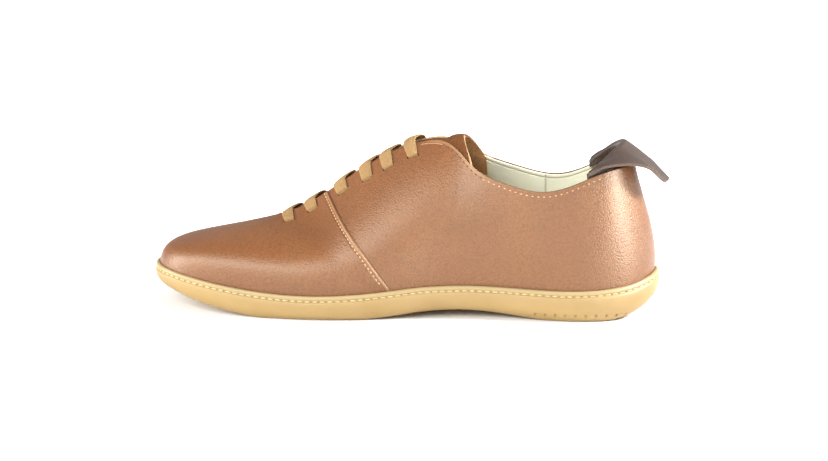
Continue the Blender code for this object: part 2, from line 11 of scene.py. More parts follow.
import bmesh
import bpy
import numpy as np
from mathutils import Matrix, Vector

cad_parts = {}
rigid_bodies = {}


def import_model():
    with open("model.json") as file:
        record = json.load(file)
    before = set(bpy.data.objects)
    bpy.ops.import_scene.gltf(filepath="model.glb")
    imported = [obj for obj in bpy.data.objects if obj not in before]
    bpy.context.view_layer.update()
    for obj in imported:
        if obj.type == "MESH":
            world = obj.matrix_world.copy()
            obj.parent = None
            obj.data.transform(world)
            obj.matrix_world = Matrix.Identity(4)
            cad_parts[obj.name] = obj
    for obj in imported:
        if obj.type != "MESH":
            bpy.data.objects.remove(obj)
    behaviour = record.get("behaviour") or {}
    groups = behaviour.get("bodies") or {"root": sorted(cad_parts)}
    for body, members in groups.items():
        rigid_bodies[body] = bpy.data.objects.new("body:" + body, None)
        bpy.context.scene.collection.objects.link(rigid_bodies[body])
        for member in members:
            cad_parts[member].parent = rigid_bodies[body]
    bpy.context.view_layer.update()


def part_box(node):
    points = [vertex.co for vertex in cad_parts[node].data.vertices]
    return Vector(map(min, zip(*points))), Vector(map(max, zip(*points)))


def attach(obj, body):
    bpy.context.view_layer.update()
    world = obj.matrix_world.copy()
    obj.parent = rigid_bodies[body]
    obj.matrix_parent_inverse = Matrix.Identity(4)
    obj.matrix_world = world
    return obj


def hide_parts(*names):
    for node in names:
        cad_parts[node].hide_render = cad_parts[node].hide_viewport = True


for old in list(bpy.data.objects):
    bpy.data.objects.remove(old, do_unlink=True)
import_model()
MM = 0.001

# %% [markdown]
# ## The last
# A shoe is pulled over a last, a wooden foot. One row here is one rib of that last, from the heel to
# the toe, given as shares of length, ball width and instep height. A closed spline through the rows
# makes every shape that follows, so upper, sole, tongue and lace always fit each other. Sculpting would
# give the form once, but not the fit.

# %% Sizes and sections of the last
LENGTH = 266.4
BALL_WIDTH = 89.5
INSTEP_HEIGHT = 92.0
HEEL_X = 133.2
WALL = 2.0
FIT = 0.3
SECTION_COLUMNS = (
    "name", "along", "medial", "lateral", "lip", "arch", "cup", "ground", "tuck",
    "top_along", "top_half", "top_height", "set_back", "set_up",
    "lean", "sweep", "crown", "foot_pull", "top_pull",
)
SECTIONS = (
    ("heel_back", 0.0, 0.0, 0.0, 23.6, 0.0, 9.5, 6.5, 8.5,
     0.044, 0.0, 0.862, 0, 0, 4, 0, 78, 20, 18),
    ("heel_turn", 0.042, 0.249, 0.254, 19.6, 0.0, 8.8, 2.2, 7.5,
     0.071, 0.227, 0.868, 0, 0, 5, 0, 80, 20, 18),
    ("heel_side", 0.110, 0.328, 0.340, 16.6, 0.3, 7.8, -1.0, 5.0,
     0.115, 0.291, 0.832, 1, 0.4, 5, 0, 82, 20, 18),
    ("ankle", 0.207, 0.333, 0.371, 15.8, 0.5, 7.6, -0.8, 4.4,
     0.211, 0.324, 0.737, 4, 0.9, 4, 0, 84, 18, 16),
    ("waist", 0.297, 0.318, 0.402, 15.2, 2.0, 7.6, 0.8, 4.4,
     0.305, 0.296, 0.788, 4, 1.2, 5, 2, 79, 18, 18),
    ("instep", 0.366, 0.325, 0.438, 14.9, 2.8, 7.6, 1.5, 4.4,
     0.365, 0.229, 0.876, 2, 0.8, 7, 8, 66, 24, 22),
    ("throat_corner", 0.414, 0.341, 0.462, 14.7, 2.7, 7.6, 1.4, 4.4,
     0.419, 0.106, 0.983, 0, 0, 8, 16, 44, 28, 27),
    ("facing", 0.460, 0.372, 0.482, 14.5, 2.3, 7.4, 0.9, 4.4,
     0.530, 0.058, 0.904, 0, 0, 9, 28, 33, 30, 30),
    ("seam", 0.513, 0.414, 0.500, 14.0, 1.3, 7.2, 0.0, 4.4,
     0.654, 0.052, 0.670, 0, 0, 9, 35, 30, 29, 30),
    ("ball", 0.640, 0.480, 0.516, 12.8, 0.1, 7.0, -1.2, 4.6,
     0.718, 0.047, 0.565, 0, 0, 8, 18, 26, 24, 32),
    ("vamp", 0.782, 0.466, 0.458, 14.3, 0.3, 7.0, 0.1, 4.8,
     0.743, 0.034, 0.533, 0, 0, 5, 4, 21, 20, 37),
    ("toe_side", 0.898, 0.402, 0.343, 18.6, 0.5, 6.8, 5.4, 5.6,
     0.750, 0.018, 0.527, 0, 0, -3, 0, 17, 17, 46),
    ("toe_turn", 0.969, 0.279, 0.208, 22.0, 0.2, 6.6, 10.6, 6.2,
     0.7515, 0.008, 0.525, 0, 0, -8, 0, 16, 16, 52),
    ("toe_tip", 1.0, 0.045, -0.045, 22.9, 0.0, 6.6, 12.2, 6.5,
     0.752, 0.0, 0.525, 0, 0, -10, 0, 15, 16, 53),
)
SECTION = {name: np.array(column) for name, column in zip(SECTION_COLUMNS, zip(*SECTIONS))}
NAMES = list(SECTION["name"])
ROWS = len(SECTIONS)
TOP_WEIGHT = 0.4
UP = np.array([0.0, 0.0, 1.0])
print("sections", ROWS, "from", NAMES[0], "to", NAMES[-1])


# %% Closed spline through the sections
def around(medial, lateral):
    """Values from the heel along the medial side to the toe, then back along the lateral side."""
    return np.concatenate([medial, lateral[-2:0:-1]])


def closed_spline(knots, values, period):
    """Reader of the closed cubic spline through rows of values."""
    count = len(knots)
    gaps = np.append(np.diff(knots), period - knots[-1])
    matrix = np.zeros((count, count))
    for i in range(count):
        matrix[i, i - 1] += gaps[i - 1]
        matrix[i, i] += 2 * (gaps[i - 1] + gaps[i])
        matrix[i, (i + 1) % count] += gaps[i]
    slope = (np.roll(values, -1, axis=0) - values) / gaps[:, None]
    bend = np.linalg.solve(matrix, 6 * (slope - np.roll(slope, 1, axis=0)))

    def read(u):
        u = np.asarray(u, float) % period
        i = np.searchsorted(knots, u, side="right") - 1
        after = (i + 1) % count
        b = ((u - knots[i]) / gaps[i])[..., None]
        a = 1 - b
        curve = ((a**3 - a) * bend[i] + (b**3 - b) * bend[after]) * (gaps[i] ** 2 / 6)[..., None]
        return a * values[i] + b * values[after] + curve

    return read


lip_x = HEEL_X - SECTION["along"] * LENGTH
top_x = HEEL_X - SECTION["top_along"] * LENGTH
top_half = SECTION["top_half"] * BALL_WIDTH
top_z = SECTION["top_height"] * INSTEP_HEIGHT
RING = np.column_stack([
    around(lip_x, lip_x),
    around(-SECTION["medial"] * BALL_WIDTH, SECTION["lateral"] * BALL_WIDTH),
    around(SECTION["lip"] + SECTION["arch"], SECTION["lip"]),
    around(top_x, top_x + SECTION["set_back"]),
    around(-top_half, top_half),
    around(top_z, top_z + SECTION["set_up"]),
    around(SECTION["cup"], SECTION["cup"]),
    around(SECTION["ground"] + SECTION["arch"], SECTION["ground"]),
    around(SECTION["tuck"], SECTION["tuck"]),
    around(SECTION["lean"], SECTION["lean"]),
    around(SECTION["crown"], SECTION["crown"]),
    around(SECTION["foot_pull"], SECTION["foot_pull"]),
    around(SECTION["top_pull"], SECTION["top_pull"]),
    around(SECTION["sweep"], -SECTION["sweep"]),
])
LIP_X, LIP_Z, TOP_X = 0, 2, 3
CUP, GROUND, TUCK, LEAN, CROWN, FOOT_PULL, TOP_PULL, SWEEP = range(6, 14)
chords = np.roll(RING, -1, axis=0) - RING
steps = np.linalg.norm(chords[:, 0:2], axis=1) + TOP_WEIGHT * np.linalg.norm(chords[:, 3:6], axis=1)
PERIOD = steps.sum()
KNOTS = np.concatenate([[0.0], np.cumsum(steps)[:-1]])
TOE = KNOTS[ROWS - 1]
MEDIAL_KNOTS = KNOTS[:ROWS]
LATERAL_KNOTS = np.append(KNOTS, PERIOD)[2 * (ROWS - 1):ROWS - 2:-1]
read_ring = closed_spline(KNOTS, RING, PERIOD)
print("way around the shoe", round(PERIOD, 1), "toe at", round(TOE, 1))


# %% Places around the shoe
NUDGE = 0.05


def knot(name):
    """Place of a section on the medial side."""
    return KNOTS[NAMES.index(name)]


def mirrored(u):
    """Place on the lateral side that matches a medial one."""
    return np.interp(u, MEDIAL_KNOTS, LATERAL_KNOTS)


def ring(u):
    """Columns of the section table at u, with the sole's ground kept on or above the floor."""
    values = read_ring(u)
    values[..., GROUND] = np.maximum(values[..., GROUND], 0.0)
    return values


def unit(vectors):
    """Vectors of length one."""
    return vectors / np.linalg.norm(vectors, axis=-1, keepdims=True)


def outward(u):
    """Level direction out of the lip's outline."""
    tangent = ring(u + NUDGE)[..., 0:2] - ring(u - NUDGE)[..., 0:2]
    return unit(np.stack([-tangent[..., 1], tangent[..., 0], np.zeros_like(tangent[..., 0])], axis=-1))


print("seam at", round(knot("seam"), 1), "mirrored at", round(float(mirrored(knot("seam"))), 1))


# %% Skin of the upper
RISE_NUDGE = 0.004
INWARD_PULL = 10.0


def skin(u, v):
    """Outer face of the upper: u runs around the lip, v from the lip to the top edge."""
    u, v = np.broadcast_arrays(np.asarray(u, float), np.asarray(v, float))
    v = v[..., None]
    values = ring(u)
    foot = values[..., 0:3]
    top = values[..., 3:6]
    out = outward(u)
    lean = np.radians(values[..., [LEAN]])
    crown = np.radians(values[..., [CROWN]])
    sweep = np.radians(values[..., [SWEEP]])
    ahead = np.cross(out, UP)
    heading = (top - foot) * np.array([1.0, 1.0, 0.0])
    heading = heading - np.abs(np.sin(sweep)) * (heading * ahead).sum(axis=-1, keepdims=True) * ahead
    heading = unit(heading - INWARD_PULL * out)
    rising = np.cos(lean) * UP + np.sin(lean) * out + np.tan(sweep) * ahead
    low = foot + values[..., [FOOT_PULL]] * rising
    high = top - values[..., [TOP_PULL]] * (np.cos(crown) * heading + np.sin(crown) * UP)
    w = 1 - v
    return w**3 * foot + 3 * w**2 * v * low + 3 * w * v**2 * high + v**3 * top


def skin_normal(u, v):
    """Outward normal of the upper's outer face."""
    u, v = np.broadcast_arrays(np.asarray(u, float), np.asarray(v, float))
    along = skin(u + NUDGE, v) - skin(u - NUDGE, v)
    rise = skin(u, v + RISE_NUDGE) - skin(u, v - RISE_NUDGE)
    return unit(np.cross(rise, along))


def step_length(u, v):
    """Millimetres on the skin for one step of u."""
    return np.linalg.norm(skin(u + NUDGE, v) - skin(u - NUDGE, v), axis=-1) / (2 * NUDGE)


def below_top(u, depth):
    """The v that lies a few millimetres below the top edge."""
    return 1 - depth / (3 * ring(u)[..., TOP_PULL])


print("top of the seam at", skin(knot("seam"), 1.0).round(1))

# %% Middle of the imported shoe
LIP_REACH = 2.4
trial = np.linspace(0, PERIOD, 2000)
rim = ring(trial)[:, 0:2] + LIP_REACH * outward(trial)[:, 0:2]
sole_low, sole_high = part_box("outsole")
CENTRE = np.zeros(3)
CENTRE[0:2] = (rim.min(axis=0) + rim.max(axis=0)) / 2 - np.array((sole_low + sole_high)[0:2]) / 2 / MM
print("middle of the packed shoe in the last's millimetres", CENTRE.round(2))

# %% [markdown]
# ## Finishes
# Every finish but the lace's is built from nodes on Object coordinates, so that the pattern keeps its size
# and place on the shoe; the lace follows its own weave map. Leather gets its pebbles from rounded cells in
# a bump, darker in the valleys. A photograph of leather would be quicker, but it would stretch over the toe
# and repeat.

# %% Node helpers
def new_finish(name, sockets):
    """Principled finish with constants on the shader's own sockets."""
    finish = bpy.data.materials.new(name)
    finish.use_nodes = True
    shader = finish.node_tree.nodes["Principled BSDF"]
    for socket, value in sockets.items():
        shader.inputs[socket].default_value = value
    return finish, finish.node_tree, shader


def add_node(tree, kind, inputs=None, **settings):
    """Node with its settings, and with links or values on its inputs."""
    node = tree.nodes.new(kind)
    for key, value in settings.items():
        setattr(node, key, value)
    for key, value in (inputs or {}).items():
        if isinstance(value, bpy.types.NodeSocket):
            tree.links.new(value, node.inputs[key])
        else:
            node.inputs[key].default_value = value
    return node


def blend_colour(tree, share, first, second):
    """Colour between two others, by a share from a socket."""
    mix = add_node(tree, "ShaderNodeMix", data_type="RGBA")
    tree.links.new(share, mix.inputs["Factor"])
    for socket, value in ((mix.inputs[6], first), (mix.inputs[7], second)):
        if isinstance(value, bpy.types.NodeSocket):
            tree.links.new(value, socket)
        else:
            socket.default_value = (*value, 1.0)
    return mix.outputs[2]


def stretch(tree, value, low, high, to_low=0.0, to_high=1.0):
    """Number from a socket, mapped from one range to another."""
    inputs = {"Value": value, "From Min": low, "From Max": high, "To Min": to_low, "To Max": to_high}
    return add_node(tree, "ShaderNodeMapRange", inputs).outputs["Result"]


def combine(tree, operation, first, second):
    """Math node on two sockets or numbers."""
    return add_node(tree, "ShaderNodeMath", {0: first, 1: second}, operation=operation).outputs[0]


# %% Pattern helpers
def on_piece(tree):
    """Place on a piece, in its own coordinates."""
    return add_node(tree, "ShaderNodeTexCoord").outputs["Object"]


def stored(tree, name):
    """Number that a piece stores on its points."""
    return add_node(tree, "ShaderNodeAttribute", attribute_name=name).outputs["Fac"]


def noise(tree, place, size_mm, detail=3.0):
    """Cloudy pattern with spots of about a given size."""
    inputs = {"Vector": place, "Scale": 1 / (size_mm * MM), "Detail": detail, "Roughness": 0.55}
    return add_node(tree, "ShaderNodeTexNoise", inputs).outputs["Fac"]


def cells(tree, place, size_mm, softness):
    """Rounded cells of about a given size, 0 in the middle of a cell."""
    inputs = {"Vector": place, "Scale": 1 / (size_mm * MM), "Smoothness": softness}
    return add_node(tree, "ShaderNodeTexVoronoi", inputs, feature="SMOOTH_F1").outputs["Distance"]


def waves(tree, place, scale, way):
    """Even bands across one direction of a map."""
    inputs = {"Vector": place, "Scale": scale}
    return add_node(tree, "ShaderNodeTexWave", inputs, bands_direction=way).outputs["Fac"]


def add_bump(tree, shader, height, strength, depth_mm, invert=False):
    """Bump on the shader's normal."""
    inputs = {"Height": height, "Strength": strength, "Distance": depth_mm * MM}
    node = add_node(tree, "ShaderNodeBump", inputs, invert=invert)
    tree.links.new(node.outputs["Normal"], shader.inputs["Normal"])


# %% Leather finishes
CLOUD_MM = 34.0
MOTTLE_MM = 1.15
DARK_TONE = 0.62
VALLEY_SHARE = 0.65
MOTTLE_SHARE = 0.48
PORE_SHARE = 0.35
GRAIN_STRENGTH = 0.6


def leather_finish(name, deep, light, pebble_mm, depth_mm, sockets, worn_and_highlight_tone=None):
    """Pebbled leather: cloudy tone, cells with darker valleys, fine pores, and a stored paler tone for
    rubbed edges and a painted seam highlight.
    """
    finish, tree, shader = new_finish(name, sockets)
    place = on_piece(tree)
    clouds = stretch(tree, noise(tree, place, CLOUD_MM), 0.32, 0.68)
    colour = blend_colour(tree, clouds, deep, light)
    pebbles = cells(tree, place, pebble_mm, 0.3)
    valleys = stretch(tree, pebbles, 0.42, 0.80)
    dark = tuple(DARK_TONE * part for part in deep)
    colour = blend_colour(tree, combine(tree, "MULTIPLY", valleys, VALLEY_SHARE), colour, dark)
    mottle = stretch(tree, noise(tree, place, MOTTLE_MM, 1.0), 0.45, 0.70)
    colour = blend_colour(tree, combine(tree, "MULTIPLY", mottle, MOTTLE_SHARE), colour, dark)
    if worn_and_highlight_tone:
        colour = blend_colour(tree, stored(tree, "wear_and_seam_highlight"), colour, worn_and_highlight_tone)
    tree.links.new(colour, shader.inputs["Base Color"])
    pores = combine(tree, "MULTIPLY", noise(tree, place, 0.5 * pebble_mm), PORE_SHARE)
    height = combine(tree, "ADD", pebbles, pores)
    add_bump(tree, shader, height, GRAIN_STRENGTH, depth_mm, invert=True)
    return finish


# Its stored paler tone paints rubbed edges and, along the seam, a painted highlight.
BROWN_LEATHER = leather_finish(
    "brown_leather", (0.182, 0.055, 0.0095), (0.218, 0.072, 0.014), 0.82, 0.22,
    {"Roughness": 0.42, "Specular IOR Level": 0.9, "Specular Tint": (1.0, 0.93, 0.76, 1.0),
     "Coat Weight": 0.08, "Coat Roughness": 0.30},
    worn_and_highlight_tone=(0.36, 0.19, 0.085),
)
TONGUE_LEATHER = leather_finish(
    "tongue_leather", (0.130, 0.045, 0.013), (0.165, 0.060, 0.018), 0.9, 0.20,
    {"Roughness": 0.60, "Specular IOR Level": 0.30, "Specular Tint": (1.0, 0.80, 0.58, 1.0)},
)
TONGUE_BACK = leather_finish(
    "tongue_back", (0.56, 0.265, 0.105), (0.64, 0.32, 0.135), 0.5, 0.10,
    {"Roughness": 0.85, "Specular IOR Level": 0.2},
)
FLAP_LEATHER = leather_finish(
    "flap_leather", (0.058, 0.035, 0.026), (0.077, 0.048, 0.037), 0.8, 0.12,
    {"Roughness": 0.42, "Specular IOR Level": 0.5, "Coat Weight": 0.08, "Coat Roughness": 0.35},
)
FLAP_EDGE = leather_finish(
    "flap_edge", (0.125, 0.085, 0.062), (0.165, 0.12, 0.092), 0.7, 0.15,
    {"Roughness": 0.75, "Specular IOR Level": 0.25},
)
CUT_LEATHER = leather_finish(
    "cut_leather", (0.15, 0.078, 0.036), (0.20, 0.11, 0.055), 0.6, 0.12,
    {"Roughness": 0.8, "Specular IOR Level": 0.2},
)
RAW_EDGE = leather_finish(
    "raw_edge", (0.44, 0.25, 0.125), (0.52, 0.32, 0.17), 0.6, 0.12,
    {"Roughness": 0.8, "Specular IOR Level": 0.2},
)
FOOTBED_LEATHER = leather_finish(
    "footbed_leather", (0.66, 0.58, 0.42), (0.74, 0.67, 0.51), 1.4, 0.10,
    {"Roughness": 0.7, "Specular IOR Level": 0.3},
)
print("leathers", [finish.name for finish in bpy.data.materials])


# %% Lining, rubber and thread finishes
JOINT_X = 71.4
JOINT_FADE = (0.2 * MM, 0.7 * MM)
JOINT_TONE = 0.55


def lining_finish():
    """Soft cream lining with a sewn line under its edge and one upright joint on each side."""
    finish, tree, shader = new_finish("cream_lining", {"Roughness": 0.78, "Specular IOR Level": 0.25})
    place = on_piece(tree)
    clouds = stretch(tree, noise(tree, place, 9.0), 0.35, 0.65)
    colour = blend_colour(tree, clouds, (0.95, 0.94, 0.71), (0.97, 0.96, 0.77))
    line = stored(tree, "line")
    along = add_node(tree, "ShaderNodeSeparateXYZ", {"Vector": place}).outputs["X"]
    off_joint = combine(tree, "ABSOLUTE", combine(tree, "SUBTRACT", along, JOINT_X * MM), 0.0)
    joint = stretch(tree, off_joint, *JOINT_FADE, JOINT_TONE, 0.0)
    colour = blend_colour(tree, combine(tree, "MAXIMUM", line, joint), colour, (0.24, 0.19, 0.11))
    tree.links.new(colour, shader.inputs["Base Color"])
    add_bump(tree, shader, noise(tree, place, 0.7), 0.4, 0.10)
    return finish


def gum_finish():
    """Honey-coloured gum rubber, satin, with faint flow marks, a fine moulded skin and a painted highlight
    along the lip.
    """
    sockets = {"Specular IOR Level": 0.5, "Coat Weight": 0.15, "Coat Roughness": 0.35}
    finish, tree, shader = new_finish("gum_rubber", sockets)
    place = on_piece(tree)
    clouds = stretch(tree, noise(tree, place, 22.0), 0.30, 0.70)
    colour = blend_colour(tree, clouds, (0.342, 0.216, 0.070), (0.390, 0.258, 0.094))
    # Painted highlight: the top of the lip is paler, the band below it a little paler.
    colour = blend_colour(tree, stored(tree, "lip"), colour, (0.38, 0.278, 0.126))
    specks = stretch(tree, noise(tree, place, 1.3, 1.0), 0.62, 0.78)
    colour = blend_colour(tree, combine(tree, "MULTIPLY", specks, 0.3), colour, (0.45, 0.26, 0.07))
    tree.links.new(colour, shader.inputs["Base Color"])
    tree.links.new(stretch(tree, clouds, 0.0, 1.0, 0.42, 0.55), shader.inputs["Roughness"])
    add_bump(tree, shader, noise(tree, place, 0.9), 0.35, 0.12)
    return finish


def thread_finish(name, colour, shade):
    """Twisted waxed thread."""
    finish, tree, shader = new_finish(name, {"Roughness": 0.6, "Specular IOR Level": 0.3})
    place = on_piece(tree)
    share = stretch(tree, noise(tree, place, 0.8), 0.35, 0.65)
    tree.links.new(blend_colour(tree, share, shade, colour), shader.inputs["Base Color"])
    return finish


def lace_finish():
    """Flat cotton weave on the ribbon's own map: ribs along it and picks across it."""
    finish, tree, shader = new_finish("lace_weave", {"Roughness": 0.85, "Specular IOR Level": 0.2})
    place = add_node(tree, "ShaderNodeUVMap", uv_map="weave").outputs["UV"]
    ribs = waves(tree, place, 2.2, "X")
    picks = waves(tree, place, 3.0, "Y")
    weave = combine(tree, "MULTIPLY", ribs, stretch(tree, picks, 0.0, 1.0, 0.45, 1.0))
    colour = blend_colour(tree, weave, (0.32, 0.185, 0.074), (0.47, 0.30, 0.138))
    tree.links.new(colour, shader.inputs["Base Color"])
    add_bump(tree, shader, weave, 0.6, 0.15)
    return finish


CREAM_LINING = lining_finish()
GUM_RUBBER = gum_finish()
LACE_WEAVE = lace_finish()
# Painted shade: these dark beads stand for shaded stitch holes near the throat, not for a dark thread.
SHADED_HOLE_THREAD = thread_finish("painted_shade_thread", (0.12, 0.055, 0.026), (0.08, 0.034, 0.015))
ROSE_CORD = thread_finish("rose_cord", (0.42, 0.225, 0.12), (0.34, 0.17, 0.085))
TAN_THREAD = thread_finish("tan_thread", (0.60, 0.38, 0.19), (0.47, 0.28, 0.13))
PALE_THREAD = thread_finish("pale_thread", (0.68, 0.54, 0.27), (0.57, 0.43, 0.19))
print("finishes", len(bpy.data.materials))

# %% [markdown]
# ## Upper
# On the real shoe the upper is one piece of leather, closed by a single overlapped seam on the inner
# side. It is a wall about 1.2 mm thick with a lining behind it. Rings of points go up the outside, over
# the cut edge and down the inside, so the wall is closed. The seam, its sewn dip and the soft creases
# move points along the skin's normal.

# %% Ribs of the upper
RIBS_A_SIDE = 150
SEAM = knot("seam")
SEAM_REACH = (-3.0, 5.0)
SEAM_RIB_STEP = 0.2
SEAM_RIB_GAP = 0.3


def side_ribs(start, stop):
    """Ribs of one side, evenly spread over lip and top."""
    fine = np.linspace(start, stop, 3001)
    values = ring(fine)
    lip_run = np.linalg.norm(np.diff(values[:, 0:2], axis=0), axis=1)
    top_run = np.linalg.norm(np.diff(values[:, 3:6], axis=0), axis=1)
    cost = np.concatenate([[0.0], np.cumsum(lip_run + TOP_WEIGHT * top_run)])
    return np.interp(np.linspace(0, cost[-1], RIBS_A_SIDE + 1), cost, fine)


medial_ribs = side_ribs(0.0, TOE)
seam_ribs = SEAM + np.arange(*SEAM_REACH, SEAM_RIB_STEP)
behind_seam = medial_ribs < seam_ribs[0] - SEAM_RIB_GAP
before_seam = medial_ribs > seam_ribs[-1] + SEAM_RIB_GAP
medial_ribs = np.sort(np.concatenate([medial_ribs[behind_seam | before_seam], seam_ribs]))
lateral_ribs = side_ribs(TOE, PERIOD)
RIBS = np.concatenate([medial_ribs, lateral_ribs[1:-1]])
COUNT = len(RIBS)
print("ribs", COUNT)


# %% Relief of the upper
SEAM_STEP = 0.8
SEAM_ROW = 2.1
SEAM_RISE = (-0.25, 0.25)
SEAM_FADE = (1.5, 15.0)
# Rolled edge, sewn dip and gap beside the edge, columns height, middle and width in millimetres
SEAM_FORMS = (
    (0.22, 0.55, 0.45),
    (-0.20, SEAM_ROW, 0.5),
    (-0.24, -0.5, 0.3),
)
NO_SEAM = -100.0
SEAM_START = (0.0, 0.07)
CREASE_START = (0.02, 0.15)
RIDGE_SHARE = 0.5
CREASE_COLUMNS = ("side", "x", "z", "turn", "length", "width", "depth")
CREASE_ROWS = (
    (-1, 25.0, 64.0, 82, 12, 1.5, 0.16),
    (-1, 30.5, 61.0, 86, 13, 1.6, 0.18),
    (-1, 36.0, 58.0, 90, 12, 1.6, 0.16),
    (-1, 42.0, 56.0, 95, 11, 1.8, 0.12),
    (-1, -66.0, 34.0, 28, 16, 3.2, 0.22),
    (-1, -56.0, 33.0, 34, 15, 3.0, 0.20),
    (1, -64.0, 34.0, 28, 16, 3.2, 0.25),
    (1, -53.0, 34.0, 34, 15, 3.0, 0.22),
    (1, 32.0, 60.0, 88, 13, 1.7, 0.16),
    (1, 39.0, 57.0, 92, 12, 1.7, 0.14),
)


def smooth(value, start, stop):
    """Smooth step from 0 to 1."""
    share = np.clip((np.asarray(value, float) - start) / (stop - start), 0.0, 1.0)
    return share * share * (3 - 2 * share)


def bell(value, middle, width):
    """Soft ridge of height 1."""
    return np.exp(-(((np.asarray(value, float) - middle) / width) ** 2))


def seam_height(distance):
    """Rise of the overlapped seam, by millimetres toward the toe: rolled edge, sewn dip and long fade."""
    height = SEAM_STEP * smooth(distance, *SEAM_RISE) * (1 - smooth(distance, *SEAM_FADE))
    for rise, middle, width in SEAM_FORMS:
        height = height + rise * bell(distance, middle, width)
    return height


def seam_distance(u, v):
    """Millimetres from the seam toward the toe, far off on the side without a seam."""
    near = (u > 0) & (u < TOE)
    return np.where(near, (u - SEAM) * step_length(u, v), NO_SEAM)


def crease_height(points):
    """Soft troughs at listed places, each with a low ridge beside it."""
    total = np.zeros(points.shape[:-1])
    for row in CREASE_ROWS:
        crease = dict(zip(CREASE_COLUMNS, row))
        turn = math.radians(crease["turn"])
        dx = points[..., 0] - crease["x"]
        dz = points[..., 2] - crease["z"]
        along = dx * math.cos(turn) + dz * math.sin(turn)
        across = dz * math.cos(turn) - dx * math.sin(turn)
        near = bell(along, 0.0, crease["length"] / 2) * (points[..., 1] * crease["side"] > 0)
        width = crease["width"]
        trough = bell(across, 0.0, width) - RIDGE_SHARE * bell(across, 2.0 * width, width)
        total -= crease["depth"] * near * trough
    return total


def relief(u, v):
    """Height of the finished leather over the plain skin."""
    height = seam_height(seam_distance(u, v)) * smooth(v, *SEAM_START)
    return height + crease_height(skin(u, v)) * smooth(v, *CREASE_START)


print("creases", len(CREASE_ROWS))

# %% Pieces from points
def add_object(name, data):
    """Object in the scene for a mesh, a lamp or the camera."""
    placed = bpy.data.objects.new(name, data)
    bpy.context.scene.collection.objects.link(placed)
    return placed


def ring_faces(first, second, count):
    """Quads between two rings of the same count."""
    after = [(i + 1) % count for i in range(count)]
    return [(first + i, first + j, second + j, second + i) for i, j in enumerate(after)]


def stacked_faces(rows, count, closed):
    """Quads between stacked rings, and back to the first ring for a closed wall."""
    faces = []
    for row in range(rows if closed else rows - 1):
        faces += ring_faces(row * count, (row + 1) % rows * count, count)
    return faces


def make_piece(name, points, faces, finishes, picks=None, sharp=None):
    """Object from points in the shoe's millimetres, faces out, with one or more finishes."""
    mesh = bpy.data.meshes.new(name)
    mesh.from_pydata(((np.asarray(points).reshape(-1, 3) - CENTRE) * MM).tolist(), [], faces)
    for finish in finishes:
        mesh.materials.append(finish)
    if picks is not None:
        mesh.polygons.foreach_set("material_index", picks)
    work = bmesh.new()
    work.from_mesh(mesh)
    bmesh.ops.recalc_face_normals(work, faces=work.faces)
    work.to_mesh(mesh)
    work.free()
    mesh.shade_smooth()
    if sharp:
        mesh.set_sharp_from_angle(angle=math.radians(sharp))
    return add_object(name, mesh)


def set_numbers(piece, name, numbers):
    """Store one number for each point of a piece, for its material to read."""
    attribute = piece.data.attributes.new(name, "FLOAT", "POINT")
    attribute.data.foreach_set("value", np.asarray(numbers, np.float32).ravel())


# %% Leather wall of the upper
LEATHER = 1.2
OUTER_STEPS = 66
INNER_STEPS = 18
EDGE_X = 44.0
EDGE_MARGIN = 0.6
# Rounded cut edge, columns depth and inset: millimetres below the top edge and in from the outer face
CUT_EDGE = (
    (0.70, 0.00),
    (0.22, 0.06),
    (0.00, 0.30),
    (-0.06, 0.60),
    (0.00, 0.90),
    (0.22, 1.14),
    (0.70, 1.20),
)


def wall_rings(outer_steps, edge, outer_inset, inner_inset, inner_steps, finish_outer):
    """Rings of a wall: up its outer face, over its edge and down its inner face."""
    top = below_top(RIBS, edge[0][0] + EDGE_MARGIN)
    foot_drop = (ring(RIBS)[:, CUP] - FIT)[:, None] * UP
    rings = []
    for share in np.linspace(0, 1, outer_steps):
        v = share * top
        lift = finish_outer(RIBS, v) - outer_inset
        normal = outward(RIBS) if share == 0 else skin_normal(RIBS, v)
        rings.append(skin(RIBS, v) + lift[:, None] * normal)
    rings.insert(0, rings[0] - foot_drop)
    for depth, inset in edge:
        v = below_top(RIBS, depth)
        lift = finish_outer(RIBS, v) * (1 - (inset - outer_inset) / (inner_inset - outer_inset)) - inset
        rings.append(skin(RIBS, v) + lift[:, None] * skin_normal(RIBS, v))
    for share in np.linspace(1, 0, inner_steps):
        v = share * below_top(RIBS, edge[-1][0] + EDGE_MARGIN)
        normal = outward(RIBS) if share == 0 else skin_normal(RIBS, v)
        rings.append(skin(RIBS, v) - inner_inset * normal)
    rings.append(rings[-1] - foot_drop)
    return np.array(rings)


upper_rings = wall_rings(OUTER_STEPS, CUT_EDGE, 0.0, LEATHER, INNER_STEPS, relief)
upper_rows = len(upper_rings)
edge_first = OUTER_STEPS + 2
rib_tops = ring(RIBS)[:, TOP_X]
upper_picks = np.zeros((upper_rows, COUNT), int)
upper_picks[edge_first:] = np.where(rib_tops < EDGE_X, 2, 1)
upper_piece = make_piece(
    "shoe_upper", upper_rings, stacked_faces(upper_rows, COUNT, True),
    [BROWN_LEATHER, CUT_LEATHER, RAW_EDGE], upper_picks.ravel(),
)
print("upper rings", upper_rows)

# %% Worn edges and painted seam highlight of the upper
SEAM_HIGHLIGHT_AND_WEAR = 0.5
SEAM_HIGHLIGHT_PLACE = 0.6
SEAM_HIGHLIGHT_WIDTH = 0.6
EDGE_WEAR = 0.6
EDGE_WEAR_STARTS = (8.0, 18.0)
EDGE_WEAR_ENDS = (34.0, 50.0)
rib_v = np.linspace(0, 1, OUTER_STEPS)[:, None] * below_top(RIBS, CUT_EDGE[0][0] + EDGE_MARGIN)[None, :]
from_seam = seam_distance(np.tile(RIBS, (OUTER_STEPS, 1)), rib_v)
wear_and_seam_highlight = np.zeros((upper_rows, COUNT))
